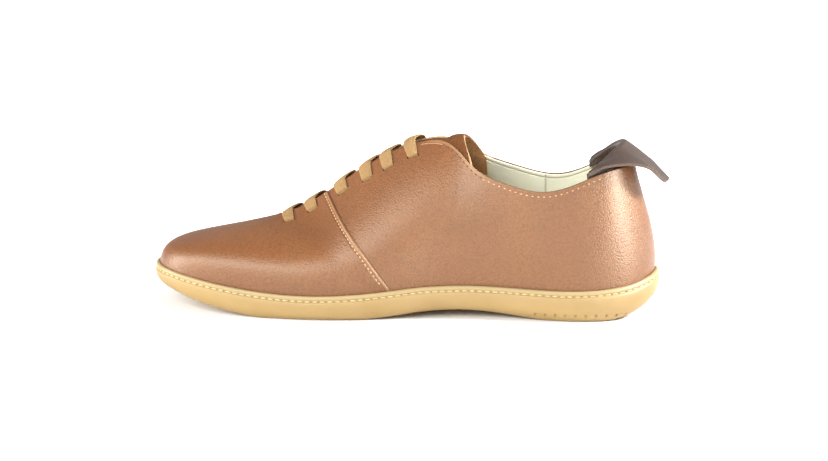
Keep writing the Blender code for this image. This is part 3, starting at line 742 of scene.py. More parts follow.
# Along the seam the paler tone is partly a rubbed edge, partly a painted highlight on the rolled ridge.
wear_and_seam_highlight[1:OUTER_STEPS + 1] = SEAM_HIGHLIGHT_AND_WEAR * bell(from_seam, SEAM_HIGHLIGHT_PLACE, SEAM_HIGHLIGHT_WIDTH)
edge_wear = EDGE_WEAR * smooth(rib_tops, *EDGE_WEAR_STARTS) * (1 - smooth(rib_tops, *EDGE_WEAR_ENDS))
wear_and_seam_highlight[OUTER_STEPS:edge_first + 1] = np.maximum(wear_and_seam_highlight[OUTER_STEPS:edge_first + 1], edge_wear)
set_numbers(upper_piece, "wear_and_seam_highlight", np.clip(wear_and_seam_highlight, 0, 1))
print("most wear", round(float(wear_and_seam_highlight.max()), 2))

# %% [markdown]
# ## Lace slots
# The lace goes through twelve plain slots, with no metal eyelets. They are cut through the wall by thin
# boxes, one at each end of each bar. The bars' places follow the photograph from the toe up.

# %% Cutting and settling
def plain_mesh(piece):
    """Mesh of a piece with its modifiers carried out."""
    evaluated = piece.evaluated_get(bpy.context.evaluated_depsgraph_get())
    return bpy.data.meshes.new_from_object(evaluated)


def carve(piece, cutter):
    """Cut a helper out of a piece, keep the plain mesh and drop the helper."""
    modifier = piece.modifiers.new("carve", "BOOLEAN")
    modifier.operation = "DIFFERENCE"
    modifier.solver = "EXACT"
    modifier.object = cutter
    carved = plain_mesh(piece)
    piece.modifiers.clear()
    piece.data = carved
    bpy.data.objects.remove(cutter, do_unlink=True)


def box_points(centre, axes, size):
    """Corners of a box about a centre with its own three directions."""
    signs = np.array([[i, j, k] for i in (-0.5, 0.5) for j in (-0.5, 0.5) for k in (-0.5, 0.5)])
    return centre + (signs * np.asarray(size)) @ np.asarray(axes)


BOX_FACES = ((0, 1, 3, 2), (4, 6, 7, 5), (0, 4, 5, 1), (2, 3, 7, 6), (0, 2, 6, 4), (1, 5, 7, 3))


def make_boxes(name, boxes):
    """One helper object from many boxes."""
    faces = [tuple(8 * i + corner for corner in face) for i in range(len(boxes)) for face in BOX_FACES]
    return make_piece(name, np.concatenate(boxes), faces, [])


def settle(piece, node):
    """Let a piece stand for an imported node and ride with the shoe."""
    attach(piece, "root")
    if node:
        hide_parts(node)
    triangles = sum(len(polygon.vertices) - 2 for polygon in piece.data.polygons)
    print(piece.name, "triangles", triangles)


# %% Bars of the lace
LACE_WIDTH = 6.2
LACE_THICKNESS = 0.9
LACE_GAP = 0.25
LACE_SLANT = 2.6
LACE_CROSS = 4.0
BAR_COLUMNS = ("place", "reach", "fullness")
BAR_ROWS = (
    (-63.2, 0.900, 0.24),
    (-50.6, 0.920, 0.26),
    (-34.5, 0.914, 0.14),
    (-20.9, 0.888, 0.12),
    (-9.8, 0.884, 0.14),
    (3.2, 0.892, 0.34),
)
BARS = [dict(zip(BAR_COLUMNS, row)) for row in BAR_ROWS]
SLOT_SIZE = (6.6, 1.7, 8.0)
SLOT_SHIFT = 0.35
UPPER_SHARP = 48
VAMP_MARGIN = 6.0
HALVINGS = 40


def rib_at(x, v, side):
    """The ribs of one side whose points at v lie at x, from the heel to just past the vamp."""
    x, v = np.broadcast_arrays(np.asarray(x, float), np.asarray(v, float))
    low = np.zeros(x.shape)
    high = np.full(x.shape, knot("vamp") + VAMP_MARGIN)
    for _ in range(HALVINGS):
        middle = (low + high) / 2
        back = skin(middle if side < 0 else PERIOD - middle, v)[..., 0] > x
        low = np.where(back, middle, low)
        high = np.where(back, high, middle)
    return low if side < 0 else PERIOD - low


def slot_box(bar, side):
    """Box of one slot: along the shoe, up the wall and through it."""
    end = bar["place"] + LACE_SLANT + LACE_CROSS * (side > 0)
    reach = bar["reach"]
    u = rib_at(end, reach, side)
    point = skin(u, reach)
    normal = skin_normal(u, reach)
    ahead = skin(rib_at(end - 1.0, reach, side), reach) - point
    ahead = unit(ahead - normal * np.dot(ahead, normal))
    across = np.cross(normal, ahead)
    across *= np.sign(across[2])
    return box_points(point + SLOT_SHIFT * across, (ahead, across, normal), SLOT_SIZE)


slots = make_boxes("slot_helper", [slot_box(bar, side) for bar in BARS for side in (-1, 1)])
carve(upper_piece, slots)
upper_piece.data.set_sharp_from_angle(angle=math.radians(UPPER_SHARP))
settle(upper_piece, "upper")

# %% [markdown]
# ## Lining
# A thin cream lining is sewn behind the leather, just below its cut edge. It is a wall of the same
# rings, further in. The sewn line under its edge is stored as a number on its points. Its finish draws
# the upright joint on each side.

# %% Lining wall
# Edge and sewn dip, columns depth and inset as for the cut edge
LINING_EDGE = (
    (1.00, 1.30),
    (0.60, 1.36),
    (0.45, 1.65),
    (0.60, 1.94),
    (1.00, 2.00),
    (1.85, 2.00),
    (2.10, 1.90),
    (2.35, 1.85),
    (2.60, 1.90),
    (2.85, 2.00),
)
LINING_STEPS = 30
LINING_START = 4
LINING_INSET = 1.30
SEWN_ROW = 7
SEWN_TONES = (0.45, 0.85, 0.45)
THROAT_X = 26.0


def no_relief(u, v):
    """A plain face."""
    return np.zeros_like(u)


lining_rings = wall_rings(LINING_START, LINING_EDGE, LINING_INSET, WALL, LINING_STEPS, no_relief)
lining_rows = len(lining_rings)
lining_picks = np.tile(np.where(rib_tops < THROAT_X, 1, 0), (lining_rows, 1))
lining_piece = make_piece(
    "shoe_lining", lining_rings, stacked_faces(lining_rows, COUNT, True), [CREAM_LINING, TONGUE_LEATHER],
    lining_picks.ravel(),
)
sewn = np.zeros((lining_rows, COUNT))
for row, tone in enumerate(SEWN_TONES, LINING_START + SEWN_ROW):
    sewn[row] = tone
set_numbers(lining_piece, "line", sewn)
settle(lining_piece, None)

# %% [markdown]
# ## Cup sole
# The sole is moulded in one piece: a floor, a wall that holds the upper, a lip with a sewn groove, a
# rounded side and the tread. Each level is the lip's outline moved out by a few millimetres. Boxes cut
# the tread and the heel's notches, as the mould does.

# %% Rings of the sole
# Columns out and down: millimetres outward from the upper and down from the lip
LIP_PROFILE = (
    (0.30, 0.00),
    (1.05, 0.00),
    (1.45, 0.10),
    (1.80, 0.45),
    (1.98, 1.05),
    (2.05, 1.65),
    (1.95, 2.00),
    (1.60, 2.30),
    (1.45, 2.62),
    (1.62, 2.95),
    (2.10, 3.15),
    (2.30, 3.50),
    (2.38, 4.05),
    (2.40, 4.60),
)
SIDE_TURNS = np.linspace(0, 90, 13)[1:]
LIP_HIGHLIGHT_DEPTH = 2.1
SIDE_HIGHLIGHT_SHARE = 0.3


def level_ring(out, height):
    """Ring at a distance out of the upper's lip outline and at given heights."""
    points = ring(RIBS)[:, 0:3] + np.asarray(out).reshape(-1, 1) * outward(RIBS)
    points[:, 2] = height
    return points


def cross_faces(first):
    """Faces that close a ring from its medial to its lateral side."""
    medial = list(range(len(medial_ribs)))
    lateral = [0] + list(range(COUNT - 1, len(medial_ribs) - 1, -1)) + [len(medial_ribs) - 1]
    faces = []
    i = 0
    j = 0
    while i < len(medial) - 1 or j < len(lateral) - 1:
        step_medial = j == len(lateral) - 1 or (
            i < len(medial) - 1 and lip_places[medial[i + 1]] >= lip_places[lateral[j + 1]]
        )
        a, b = medial[i], lateral[j]
        c = medial[i + 1] if step_medial else lateral[j + 1]
        if len({a, b, c}) == 3:
            faces.append((first + a, first + b, first + c))
        i, j = (i + 1, j) if step_medial else (i, j + 1)
    return faces


def closed_faces(rows):
    """Faces of stacked rings that are closed below and above."""
    return cross_faces(0) + stacked_faces(rows, COUNT, False) + cross_faces((rows - 1) * COUNT)


values = ring(RIBS)
lip_places = values[:, LIP_X]
lip = values[:, LIP_Z]
sole_rings = [level_ring(FIT, lip - values[:, CUP])]
for out, down in LIP_PROFILE:
    sole_rings.append(level_ring(out, lip - down))
side_top = lip - LIP_PROFILE[-1][1]
for turn in np.radians(SIDE_TURNS):
    out = LIP_PROFILE[-1][0] - values[:, TUCK] * (1 - math.cos(turn))
    sole_rings.append(level_ring(out, side_top - (side_top - values[:, GROUND]) * math.sin(turn)))
sole_piece = make_piece("shoe_outsole", np.array(sole_rings), closed_faces(len(sole_rings)), [GUM_RUBBER])
# Shares of the painted lip highlight: full on the lip's top, less further down the lip, none on the side.
lip_highlight_rows = np.zeros(len(sole_rings))
lip_highlight_rows[1:1 + len(LIP_PROFILE)] = [1.0 if down < LIP_HIGHLIGHT_DEPTH else SIDE_HIGHLIGHT_SHARE for _, down in LIP_PROFILE]
set_numbers(sole_piece, "lip", np.repeat(lip_highlight_rows, COUNT))
print("sole rings", len(sole_rings))

# %% Tread grooves and heel notches
GROOVE_WIDTH = 1.8
GROOVE_DEPTH = 1.2
GROOVE_MARGIN = 6.0
# Columns first, pitch and count: millimetres along the shoe from its middle
GROOVE_GROUPS = (
    (-66.0, 8.0, 7),
    (74.0, 8.0, 5),
)
NOTCH_FIRST = 72.0
NOTCH_PITCH = 5.2
NOTCH_COUNT = 10
NOTCH_SIZE = (1.4, 3.0, 2.4)
NOTCH_HEIGHT = 3.0
NOTCH_DEPTH = 0.6
SOLE_SHARP = 50


def side_point(x, side, height):
    """Point of the sole's rounded side at a place along the shoe, and its level direction out."""
    ribs = medial_ribs if side < 0 else lateral_ribs[::-1]
    u = np.interp(-x, -ring(ribs)[:, LIP_X], ribs)
    row = ring(u)
    out_way = outward(u)
    top = row[LIP_Z] - LIP_PROFILE[-1][1]
    sine = min(max((top - height) / (top - row[GROUND]), 0.0), 1.0)
    point = row[0:3] + (LIP_PROFILE[-1][0] - row[TUCK] * (1 - math.sqrt(1 - sine * sine))) * out_way
    point[2] = height
    return point, out_way


cuts = []
for first, pitch, count in GROOVE_GROUPS:
    for x in first + pitch * np.arange(count):
        medial = side_point(x, -1, 0.0)[0][1] + GROOVE_MARGIN
        lateral = side_point(x, 1, 0.0)[0][1] - GROOVE_MARGIN
        middle = np.array([x, (medial + lateral) / 2, 0.0])
        cuts.append(box_points(middle, np.eye(3), (GROOVE_WIDTH, lateral - medial, 2 * GROOVE_DEPTH)))
for side in (-1, 1):
    for x in NOTCH_FIRST + NOTCH_PITCH * np.arange(NOTCH_COUNT):
        point, out_way = side_point(x, side, NOTCH_HEIGHT)
        middle = point + out_way * (NOTCH_SIZE[1] / 2 - NOTCH_DEPTH)
        cuts.append(box_points(middle, (np.cross(UP, out_way), out_way, UP), NOTCH_SIZE))
carve(sole_piece, make_boxes("tread_helper", cuts))
sole_piece.data.set_sharp_from_angle(angle=math.radians(SOLE_SHARP))
settle(sole_piece, "outsole")

# %% [markdown]
# ## Footbed
# The footbed lies in the cup and shows only through the collar. It is the lip's outline, moved in, with
# a rounded edge.

# %% Footbed
# Rounded edge, columns inset and rise in millimetres
INSOLE_EDGE = (
    (0.0, 0.0),
    (0.0, 1.9),
    (0.25, 2.5),
    (0.9, 2.8),
)
INSOLE_SHARP = 60
insole_floor = lip - values[:, CUP] + FIT
insole_rings = [level_ring(-(WALL + FIT) - inset, insole_floor + rise) for inset, rise in INSOLE_EDGE]
insole_piece = make_piece(
    "shoe_footbed", np.array(insole_rings), closed_faces(len(insole_rings)),
    [FOOTBED_LEATHER], sharp=INSOLE_SHARP,
)
settle(insole_piece, "insole")

# %% [markdown]
# ## Tongue
# The tongue is a leaf of leather that follows the inside of the facings and bridges the slit between
# them. Its free end stands up above the throat and shows a raw light edge. It is a sheet between two
# grids of points. The cut of the free end leans forward in the middle, so each line of the grid starts
# at its own place.

# %% Rows across the instep
BRIDGE_STEPS = 13
BRIDGE_SHARES = np.linspace(0, 1, BRIDGE_STEPS + 2)[1:-1]


def bridge(start, start_way, stop, stop_way, fullness):
    """Cubic bridge between two points that leaves each along its own direction."""
    pull = fullness * np.linalg.norm(stop - start)
    b = BRIDGE_SHARES[:, None]
    a = 1 - b
    first = start + pull * start_way
    second = stop + pull * stop_way
    return a**3 * start + 3 * a * a * b * first + 3 * a * b * b * second + b**3 * stop


def top_way(u):
    """Direction in which a rib arrives at the top edge."""
    return unit(skin(u, 1.0) - skin(u, 0.99))


def instep_row(medial_u, lateral_u, shares, fullness):
    """Points across the instep, from the medial side over the slit to the lateral side."""
    left = skin(medial_u, shares)
    right = skin(lateral_u, shares)
    start_way = top_way(np.broadcast_to(medial_u, shares.shape)[-1])
    stop_way = top_way(np.broadcast_to(lateral_u, shares.shape)[-1])
    middle = bridge(left[-1], start_way, right[-1], stop_way, fullness)
    return np.concatenate([left, middle, right[::-1]])


def grid_normals(grid):
    """Upward normals of a grid of points, from its own neighbours."""
    normal = unit(np.cross(np.gradient(grid, axis=0), np.gradient(grid, axis=1)))
    return normal * np.sign(normal[len(grid) // 2, grid.shape[1] // 2, 2])


print("steps over the slit", BRIDGE_STEPS)


# %% Lines of the tongue
TONGUE_REACH = 0.833
TONGUE_RISE = 8.0
TONGUE_FULLNESS = 0.16
TONGUE_CURL = 0.33
TONGUE_TURN = 0.84
TONGUE_HASTE = 0.55
TONGUE_ROWS = 70
TONGUE_SHARES = np.linspace(TONGUE_REACH, 1.0, 8)
TONGUE_FIRST = knot("instep")
TONGUE_MARGIN = 4.0
TONGUE_LAST = knot("vamp") + TONGUE_MARGIN
TONGUE_LEAN = 8.0
TONGUE_SKEW = 5.0


def tongue_fullness(u, first):
    """How far the tongue bulges over the slit: low between the facings, high above the throat."""
    beyond = np.clip((knot("throat_corner") - u) / (knot("throat_corner") - first), 0.0, 1.0)
    return TONGUE_FULLNESS + TONGUE_CURL * math.sin(TONGUE_TURN * math.pi * beyond**TONGUE_HASTE)


def tongue_grid():
    """Lines along the tongue from its free end to its sewn end, each with its own start."""
    base = knot("instep") - TONGUE_RISE
    fine = np.linspace(TONGUE_FIRST - TONGUE_SKEW, TONGUE_LAST, 4 * TONGUE_ROWS)
    rows = np.array([instep_row(u, mirrored(u), TONGUE_SHARES, tongue_fullness(u, base)) for u in fine])
    columns = []
    for c, across in enumerate(np.linspace(-1, 1, rows.shape[1])):
        lean = TONGUE_LEAN * max(0.0, 1 - (2 * across) ** 2)
        first = TONGUE_FIRST + lean - TONGUE_SKEW * max(0.0, across)
        places = np.linspace(first, TONGUE_LAST, TONGUE_ROWS)
        columns.append(np.column_stack([np.interp(places, fine, rows[:, c, axis]) for axis in range(3)]))
    return np.stack(columns, axis=1)


tongue_face = tongue_grid()
TONGUE_LINES = tongue_face.shape[1]
print("tongue rows", TONGUE_ROWS, "lines", TONGUE_LINES)


# %% Tongue
TONGUE_GAP = 0.35
TONGUE_THICKNESS = 1.6
TONGUE_BEVEL = 1.0
TONGUE_SHARP = 50


def sheet_faces(rows, columns):
    """Two faces of a sheet and its rim, for an upper and a lower grid of points."""
    size = rows * columns
    faces = []
    for r in range(rows - 1):
        for c in range(columns - 1):
            a = r * columns + c
            b = a + columns
            faces.append((a, a + 1, b + 1, b))
            faces.append((size + a, size + b, size + b + 1, size + a + 1))
    edge = list(range(columns))
    edge += [r * columns + columns - 1 for r in range(1, rows)]
    edge += [(rows - 1) * columns + c for c in range(columns - 2, -1, -1)]
    edge += [r * columns for r in range(rows - 2, 0, -1)]
    for i, a in enumerate(edge):
        b = edge[(i + 1) % len(edge)]
        faces.append((a, b, size + b, size + a))
    return faces


tongue_normal = grid_normals(tongue_face)
tongue_high = tongue_face - (WALL + TONGUE_GAP) * tongue_normal
tongue_low = tongue_high - TONGUE_THICKNESS * tongue_normal
tongue_low[0] += TONGUE_BEVEL * unit(tongue_low[0] - tongue_low[1])
tongue_faces = sheet_faces(TONGUE_ROWS, TONGUE_LINES)
tongue_picks = np.zeros(len(tongue_faces), int)
rim_first = 2 * (TONGUE_ROWS - 1) * (TONGUE_LINES - 1)
tongue_picks[1:rim_first:2] = 2
tongue_picks[rim_first:rim_first + TONGUE_LINES // 2] = 1
tongue_piece = make_piece(
    "shoe_tongue", np.concatenate([tongue_high.reshape(-1, 3), tongue_low.reshape(-1, 3)]), tongue_faces,
    [TONGUE_LEATHER, RAW_EDGE, TONGUE_BACK], tongue_picks, sharp=TONGUE_SHARP,
)
settle(tongue_piece, "tongue")

# %% [markdown]
# ## Lace
# One flat woven lace crosses the slit in six bars. Each bar lies on the leather, narrows a little and
# dips through its slot at each end. A ribbon is a grid of points across and along, given a thickness,
# with a map for the weave.

# %% Lace ribbons
LACE_LINES = 9
LACE_REST = 26
DIP_DEPTH = 2.3
DIP_LENGTH = 1.5
END_NARROWING = 0.20
LACE_ROUNDING = 0.45
LACE_SHARP = 60


def bar_grid(bar):
    """Points of one bar's face, one line after another across its width."""
    shares = np.linspace(bar["reach"], 1.0, LACE_REST)
    end_share = (1 - shares) / (1 - bar["reach"])
    lines = []
    for across in np.linspace(-1, 1, LACE_LINES):
        half = LACE_WIDTH / 2 * (1 - END_NARROWING * end_share**2)
        x = bar["place"] + LACE_SLANT * end_share + across * half
        medial_u = rib_at(x, shares, -1)
        lateral_u = rib_at(x + LACE_CROSS, shares, 1)
        line = instep_row(medial_u, lateral_u, shares, bar["fullness"])
        rise = seam_height(seam_distance(medial_u, shares)).clip(0)
        line[:LACE_REST] += rise[:, None] * skin_normal(medial_u, shares)
        lines.append(line)
    return np.array(lines)


def ribbon(bar):
    """Upper and lower points of one bar and its weave map."""
    grid = bar_grid(bar)
    normal = grid_normals(grid)
    middle = grid[LACE_LINES // 2]
    run = np.concatenate([[0.0], np.cumsum(np.linalg.norm(np.diff(middle, axis=0), axis=1))])
    from_end = np.minimum(run, run[-1] - run)
    dip = -DIP_DEPTH * (1 - smooth(from_end, 0.0, DIP_LENGTH))
    across = np.linspace(-1, 1, LACE_LINES)[:, None]
    low = (LACE_GAP + dip)[None, :] + 0 * across
    high = low + LACE_THICKNESS * (1 - LACE_ROUNDING * across**4)
    weave = np.stack(np.broadcast_arrays(across * LACE_WIDTH / 2, run[None, :]), axis=-1)
    return grid + high[..., None] * normal, grid + low[..., None] * normal, weave


lace_points = []
lace_faces = []
lace_weave = []
for bar in BARS:
    high, low, weave = ribbon(bar)
    start = sum(len(points) for points in lace_points)
    lace_faces += [tuple(start + i for i in face) for face in sheet_faces(*high.shape[:2])]
    lace_points += [high.reshape(-1, 3), low.reshape(-1, 3)]
    lace_weave += [weave.reshape(-1, 2)] * 2
    print("bar of lace", round(float(weave[0, -1, 1]), 1), "mm")
lace_points = np.concatenate(lace_points)
lace_piece = make_piece("shoe_lace", lace_points, lace_faces, [LACE_WEAVE], sharp=LACE_SHARP)
weave_map = lace_piece.data.uv_layers.new(name="weave")
corner_points = np.zeros(len(lace_piece.data.loops), int)
lace_piece.data.loops.foreach_get("vertex_index", corner_points)
lace_corners = np.concatenate(lace_weave)[corner_points]
weave_map.data.foreach_set("uv", lace_corners.astype(np.float32).ravel())
settle(lace_piece, "lace")

# %% [markdown]
# ## Heel flap
# A dark leaf of leather is sewn inside the heel collar, stands up and folds back over it, as a grip to
# pull the shoe on. The table gives half of it: where it leaves the collar, the crest of the fold and
# the free edge.

# %% Heel flap
FLAP_THICKNESS = 1.8
FLAP_FOLD = 1.7
FLAP_SPREAD = 61
FLAP_CROWDING = 0.9
FLAP_SAG = 2.0
FLAP_BOW = 1.2
FLAP_SHARP = 50
FOLD_LIMIT = 0.42
ROOT_STEPS = 7
CLIMB_STEPS = 7
FOLD_STEPS = 14
FREE_STEPS = 16
FLAP_COLUMNS = ("share", "collar_x", "root", "crest_x", "crest_y", "crest_z", "edge_x", "edge_y", "edge_z")
FLAP_ROWS = (
    (0.00, 121.5, 0.200, 111.2, 0.0, 95.0, 138.9, 0.0, 71.3),
    (0.25, 119.6, 0.200, 110.2, 8.0, 93.6, 136.6, 14.5, 72.4),
    (0.50, 114.6, 0.150, 107.4, 14.5, 88.8, 127.7, 23.5, 80.8),
    (0.75, 107.0, 0.030, 103.4, 20.4, 82.8, 113.4, 29.1, 82.4),
    (0.90, 101.5, 0.020, 100.0, 23.2, 78.9, 104.3, 29.2, 80.3),
    (1.00, 97.8, 0.020, 97.5, 24.6, 76.3, 99.2, 27.4, 76.5),
)


def smooth_read(at, knots, rows):
    """Smooth curve through table rows, with slopes from the neighbours."""
    slopes = np.gradient(rows, knots, axis=0)
    i = np.clip(np.searchsorted(knots, at, side="right") - 1, 0, len(knots) - 2)
    gap = (knots[i + 1] - knots[i])[:, None]
    b = (at - knots[i])[:, None] / gap
    first = (1 + 2 * b) * (1 - b) ** 2 * rows[i] + b * (1 - b) ** 2 * gap * slopes[i]
    second = b * b * (3 - 2 * b) * rows[i + 1] + b * b * (b - 1) * gap * slopes[i + 1]
    return first + second


def fold_path(start, corner, stop):
    """Points from start to stop with a round fold at the corner."""
    rise = start - corner
    fall = stop - corner
    half = math.acos(np.clip(np.dot(unit(rise), unit(fall)), -1.0, 1.0)) / 2
    limits = [FOLD_LIMIT * np.linalg.norm(leg) for leg in (rise, fall)]
    reach = min(FLAP_FOLD / math.tan(half), *limits)
    radius = reach * math.tan(half)
    centre = corner + unit(unit(rise) + unit(fall)) * radius / math.sin(half)
    first = unit(corner + unit(rise) * reach - centre)
    second = unit(corner + unit(fall) * reach - centre)
    sweep = math.acos(np.clip(np.dot(first, second), -1.0, 1.0))
    arc = []
    for share in np.linspace(0, 1, FOLD_STEPS):
        turn = math.sin((1 - share) * sweep) * first + math.sin(share * sweep) * second
        arc.append(centre + radius * turn / math.sin(sweep))
    climb = [start + (arc[0] - start) * share for share in np.linspace(0, 1, CLIMB_STEPS)[1:-1]]
    free = []
    for share in np.linspace(0, 1, FREE_STEPS)[1:]:
        free.append(arc[-1] + (stop - arc[-1]) * share + FLAP_BOW * math.sin(math.pi * share) * UP)
    return climb + arc + free


flap_half = np.array(FLAP_ROWS)
flap_signs = np.where([name in ("share", "crest_y", "edge_y") for name in FLAP_COLUMNS], -1, 1)
flap_both = np.concatenate([(flap_half * flap_signs)[:0:-1], flap_half])
flap_spread = np.linspace(-1, 1, FLAP_SPREAD)
flap_spread = np.sign(flap_spread) * np.abs(flap_spread) ** FLAP_CROWDING
inside = WALL + FIT + FLAP_THICKNESS / 2
flap_columns = []
for share, row in zip(flap_spread, smooth_read(flap_spread, flap_both[:, 0], flap_both[:, 1:])):
    u = 0.0 if abs(share) < 1e-6 else rib_at(row[0], 1.0, -1 if share < 0 else 1)
    climb = np.linspace(1 - row[1], 1.0, ROOT_STEPS)
    anchor = skin(u, climb) - inside * skin_normal(u, climb)
    sag = np.array([0.0, 0.0, FLAP_SAG * math.sin(math.pi * max(share, 0.0))])
    flap_columns.append(list(anchor) + fold_path(anchor[-1], row[2:5], row[5:8] - sag))
flap_grid = np.array(flap_columns)
flap_normal = unit(np.cross(np.gradient(flap_grid, axis=0), np.gradient(flap_grid, axis=1)))
flap_faces = sheet_faces(*flap_grid.shape[:2])
flap_picks = np.zeros(len(flap_faces), int)
flap_picks[2 * (flap_grid.shape[0] - 1) * (flap_grid.shape[1] - 1):] = 1
flap_points = [flap_grid + side * FLAP_THICKNESS / 2 * flap_normal for side in (1, -1)]
flap_points = np.concatenate([points.reshape(-1, 3) for points in flap_points])
flap_piece = make_piece(
    "shoe_heel_flap", flap_points, flap_faces, [FLAP_LEATHER, FLAP_EDGE], flap_picks, sharp=FLAP_SHARP,
)
settle(flap_piece, "heel_flap")

# %% [markdown]
# ## Thread
# Stitches repeat along a path, so Geometry Nodes make them: a path is cut into even steps, and a small
# bead of thread is set on each step, turned along the path and onto the leather. The same tree sews
# collar, seam and sole, with other numbers on its inputs. Modelling each stitch would take hundreds of
# objects.

# %% Stitch tree
def stitch_tree():
    """Node tree that sets beads of thread along a path, with its sizes as inputs."""
    tree = bpy.data.node_groups.new("stitches", "GeometryNodeTree")
    sockets = tree.interface
    sockets.new_socket("Path", in_out="INPUT", socket_type="NodeSocketGeometry")
    for name in ("Spacing", "Length", "Width", "Height"):
        sockets.new_socket(name, in_out="INPUT", socket_type="NodeSocketFloat")
    sockets.new_socket("Thread", in_out="INPUT", socket_type="NodeSocketMaterial")
    sockets.new_socket("Stitches", in_out="OUTPUT", socket_type="NodeSocketGeometry")
    given = add_node(tree, "NodeGroupInput").outputs
    curve = add_node(tree, "GeometryNodeMeshToCurve", {"Mesh": given["Path"]}).outputs["Curve"]
    steps = {"Curve": curve, "Length": given["Spacing"]}
    cut = add_node(tree, "GeometryNodeResampleCurve", steps, mode="LENGTH")
    ball = {"Segments": 6, "Rings": 5, "Radius": 0.5}
    bead = add_node(tree, "GeometryNodeMeshUVSphere", ball).outputs["Mesh"]
    size = add_node(
        tree, "ShaderNodeCombineXYZ", {"X": given["Length"], "Y": given["Width"], "Z": given["Height"]},
    ).outputs["Vector"]
    tangent = add_node(tree, "GeometryNodeInputTangent").outputs["Tangent"]
    normal = add_node(tree, "GeometryNodeInputNamedAttribute", {"Name": "up"}, data_type="FLOAT_VECTOR")
    along = add_node(tree, "FunctionNodeAlignRotationToVector", {"Vector": tangent}, axis="X")
    turned = add_node(
        tree, "FunctionNodeAlignRotationToVector",
        {"Rotation": along.outputs["Rotation"], "Vector": normal.outputs["Attribute"]},
        axis="Z", pivot_axis="X",
    ).outputs["Rotation"]
    placed = add_node(
        tree, "GeometryNodeInstanceOnPoints",
        {"Points": cut.outputs["Curve"], "Instance": bead, "Rotation": turned, "Scale": size},
    ).outputs["Instances"]
    real = add_node(tree, "GeometryNodeRealizeInstances", {"Geometry": placed}).outputs["Geometry"]
    smooth_faces = add_node(tree, "GeometryNodeSetShadeSmooth", {0: real}).outputs[0]
    spun = {"Geometry": smooth_faces, "Material": given["Thread"]}
    sewn = add_node(tree, "GeometryNodeSetMaterial", spun)
    add_node(tree, "NodeGroupOutput", {"Stitches": sewn.outputs["Geometry"]})
    return tree


STITCHES = stitch_tree()
print("stitch tree nodes", len(STITCHES.nodes))


# %% Sewing helper
def sew(name, paths, spacing, bead, thread, slot):
    """Piece with stitches along paths; each path is a pair of points and upward directions."""
    points = np.concatenate([path for path, ups in paths])
    ups = np.concatenate([ups for path, ups in paths])
    edges = []
    start = 0
    for path, _ in paths:
        edges += [(i, i + 1) for i in range(start, start + len(path) - 1)]
        start += len(path)
    mesh = bpy.data.meshes.new(name + "_path")
    mesh.from_pydata(((points - CENTRE) * MM).tolist(), edges, [])
    up = mesh.attributes.new("up", "FLOAT_VECTOR", "POINT")
    up.data.foreach_set("vector", ups.astype(np.float32).ravel())
    path_helper = add_object(name + "_path", mesh)
    modifier = path_helper.modifiers.new("stitches", "NODES")
    modifier.node_group = STITCHES
    sizes = {"Spacing": spacing, "Length": bead[0], "Width": bead[1], "Height": bead[2]}
    for item in STITCHES.interface.items_tree:
        if item.name in sizes:
            modifier[item.identifier] = sizes[item.name] * MM
        if item.name == "Thread":
            modifier[item.identifier] = thread
    sewn_mesh = plain_mesh(path_helper)
    sewn_mesh.name = name
    bpy.data.objects.remove(path_helper, do_unlink=True)
    settle(add_object(name, sewn_mesh), None)


def on_leather(u, v, lift):
    """Path on the finished leather, and its normals."""
    normal = skin_normal(u, v)
    return skin(u, v) + (relief(u, v) + lift)[:, None] * normal, normal


# %% Rows of stitches on the leather
COLLAR_DEPTH = 2.6
COLLAR_BACK_X = 109.0
THROAT_END_X = 9.5
THREAD_LIFT = 0.05
ROW_GAP = 2.5
CORD_GAP = 0.8
SEAM_ENDS = (0.06, 0.985)
# Spacing of a row and length, width and height of its beads, in millimetres
COLLAR_SIZES = (3.0, (1.3, 0.75, 0.55))
CORD_SIZES = (0.9, (1.5, 0.8, 0.45))
SEAM_SIZES = (2.4, (1.6, 1.0, 0.7))
collar_front = knot("throat_corner")
collar_turn = rib_at(EDGE_X, 1.0, -1)
# The throat row's dark beads are painted shade in the stitch holes.
for name, start, stop, thread in (
    ("collar_stitches", rib_at(COLLAR_BACK_X, 1.0, -1), collar_turn, TAN_THREAD),
    ("throat_stitches", collar_turn + ROW_GAP, collar_front, SHADED_HOLE_THREAD),
):
    near = np.linspace(start, stop, 400)
    far = np.linspace(PERIOD - start, mirrored(stop), 400)
    paths = [on_leather(u, below_top(u, COLLAR_DEPTH), THREAD_LIFT) for u in (near, far)]
    sew(name, paths, *COLLAR_SIZES, thread, "upper_leather")
throat_u = np.linspace(collar_front + CORD_GAP, rib_at(THROAT_END_X, 1.0, -1), 120)
throat_paths = [on_leather(u, below_top(u, COLLAR_DEPTH), 0.0) for u in (throat_u, mirrored(throat_u))]
sew("throat_cords", throat_paths, *CORD_SIZES, ROSE_CORD, "upper_leather")
seam_v = np.linspace(*SEAM_ENDS, 200)
seam_path = on_leather(SEAM + SEAM_ROW / step_length(SEAM, seam_v), seam_v, THREAD_LIFT)
sew("seam_stitches", [seam_path], *SEAM_SIZES, TAN_THREAD, "upper_leather")

# %% Row of stitches on the sole
SOLE_SIZES = (3.9, (3.5, 0.85, 0.8))
SEWN_GROOVE_OUT = 1.62
SEWN_GROOVE_DOWN = 2.62
sole_u = np.linspace(0, PERIOD, 1200)
groove = ring(sole_u)[:, 0:3] + SEWN_GROOVE_OUT * outward(sole_u) - SEWN_GROOVE_DOWN * UP
sew("sole_stitches", [(groove, outward(sole_u))], *SOLE_SIZES, PALE_THREAD, "gum_rubber")

# %% [markdown]
# ## Stage
# The photograph was taken in a light tent on a white table, with soft light from all sides. A broad
# panel in front and small lamps at the toe and the heel shape the leather. Two cards by the heel show
# only in its gloss, as white cards beside a product do: a lamp there would light the floor as well.

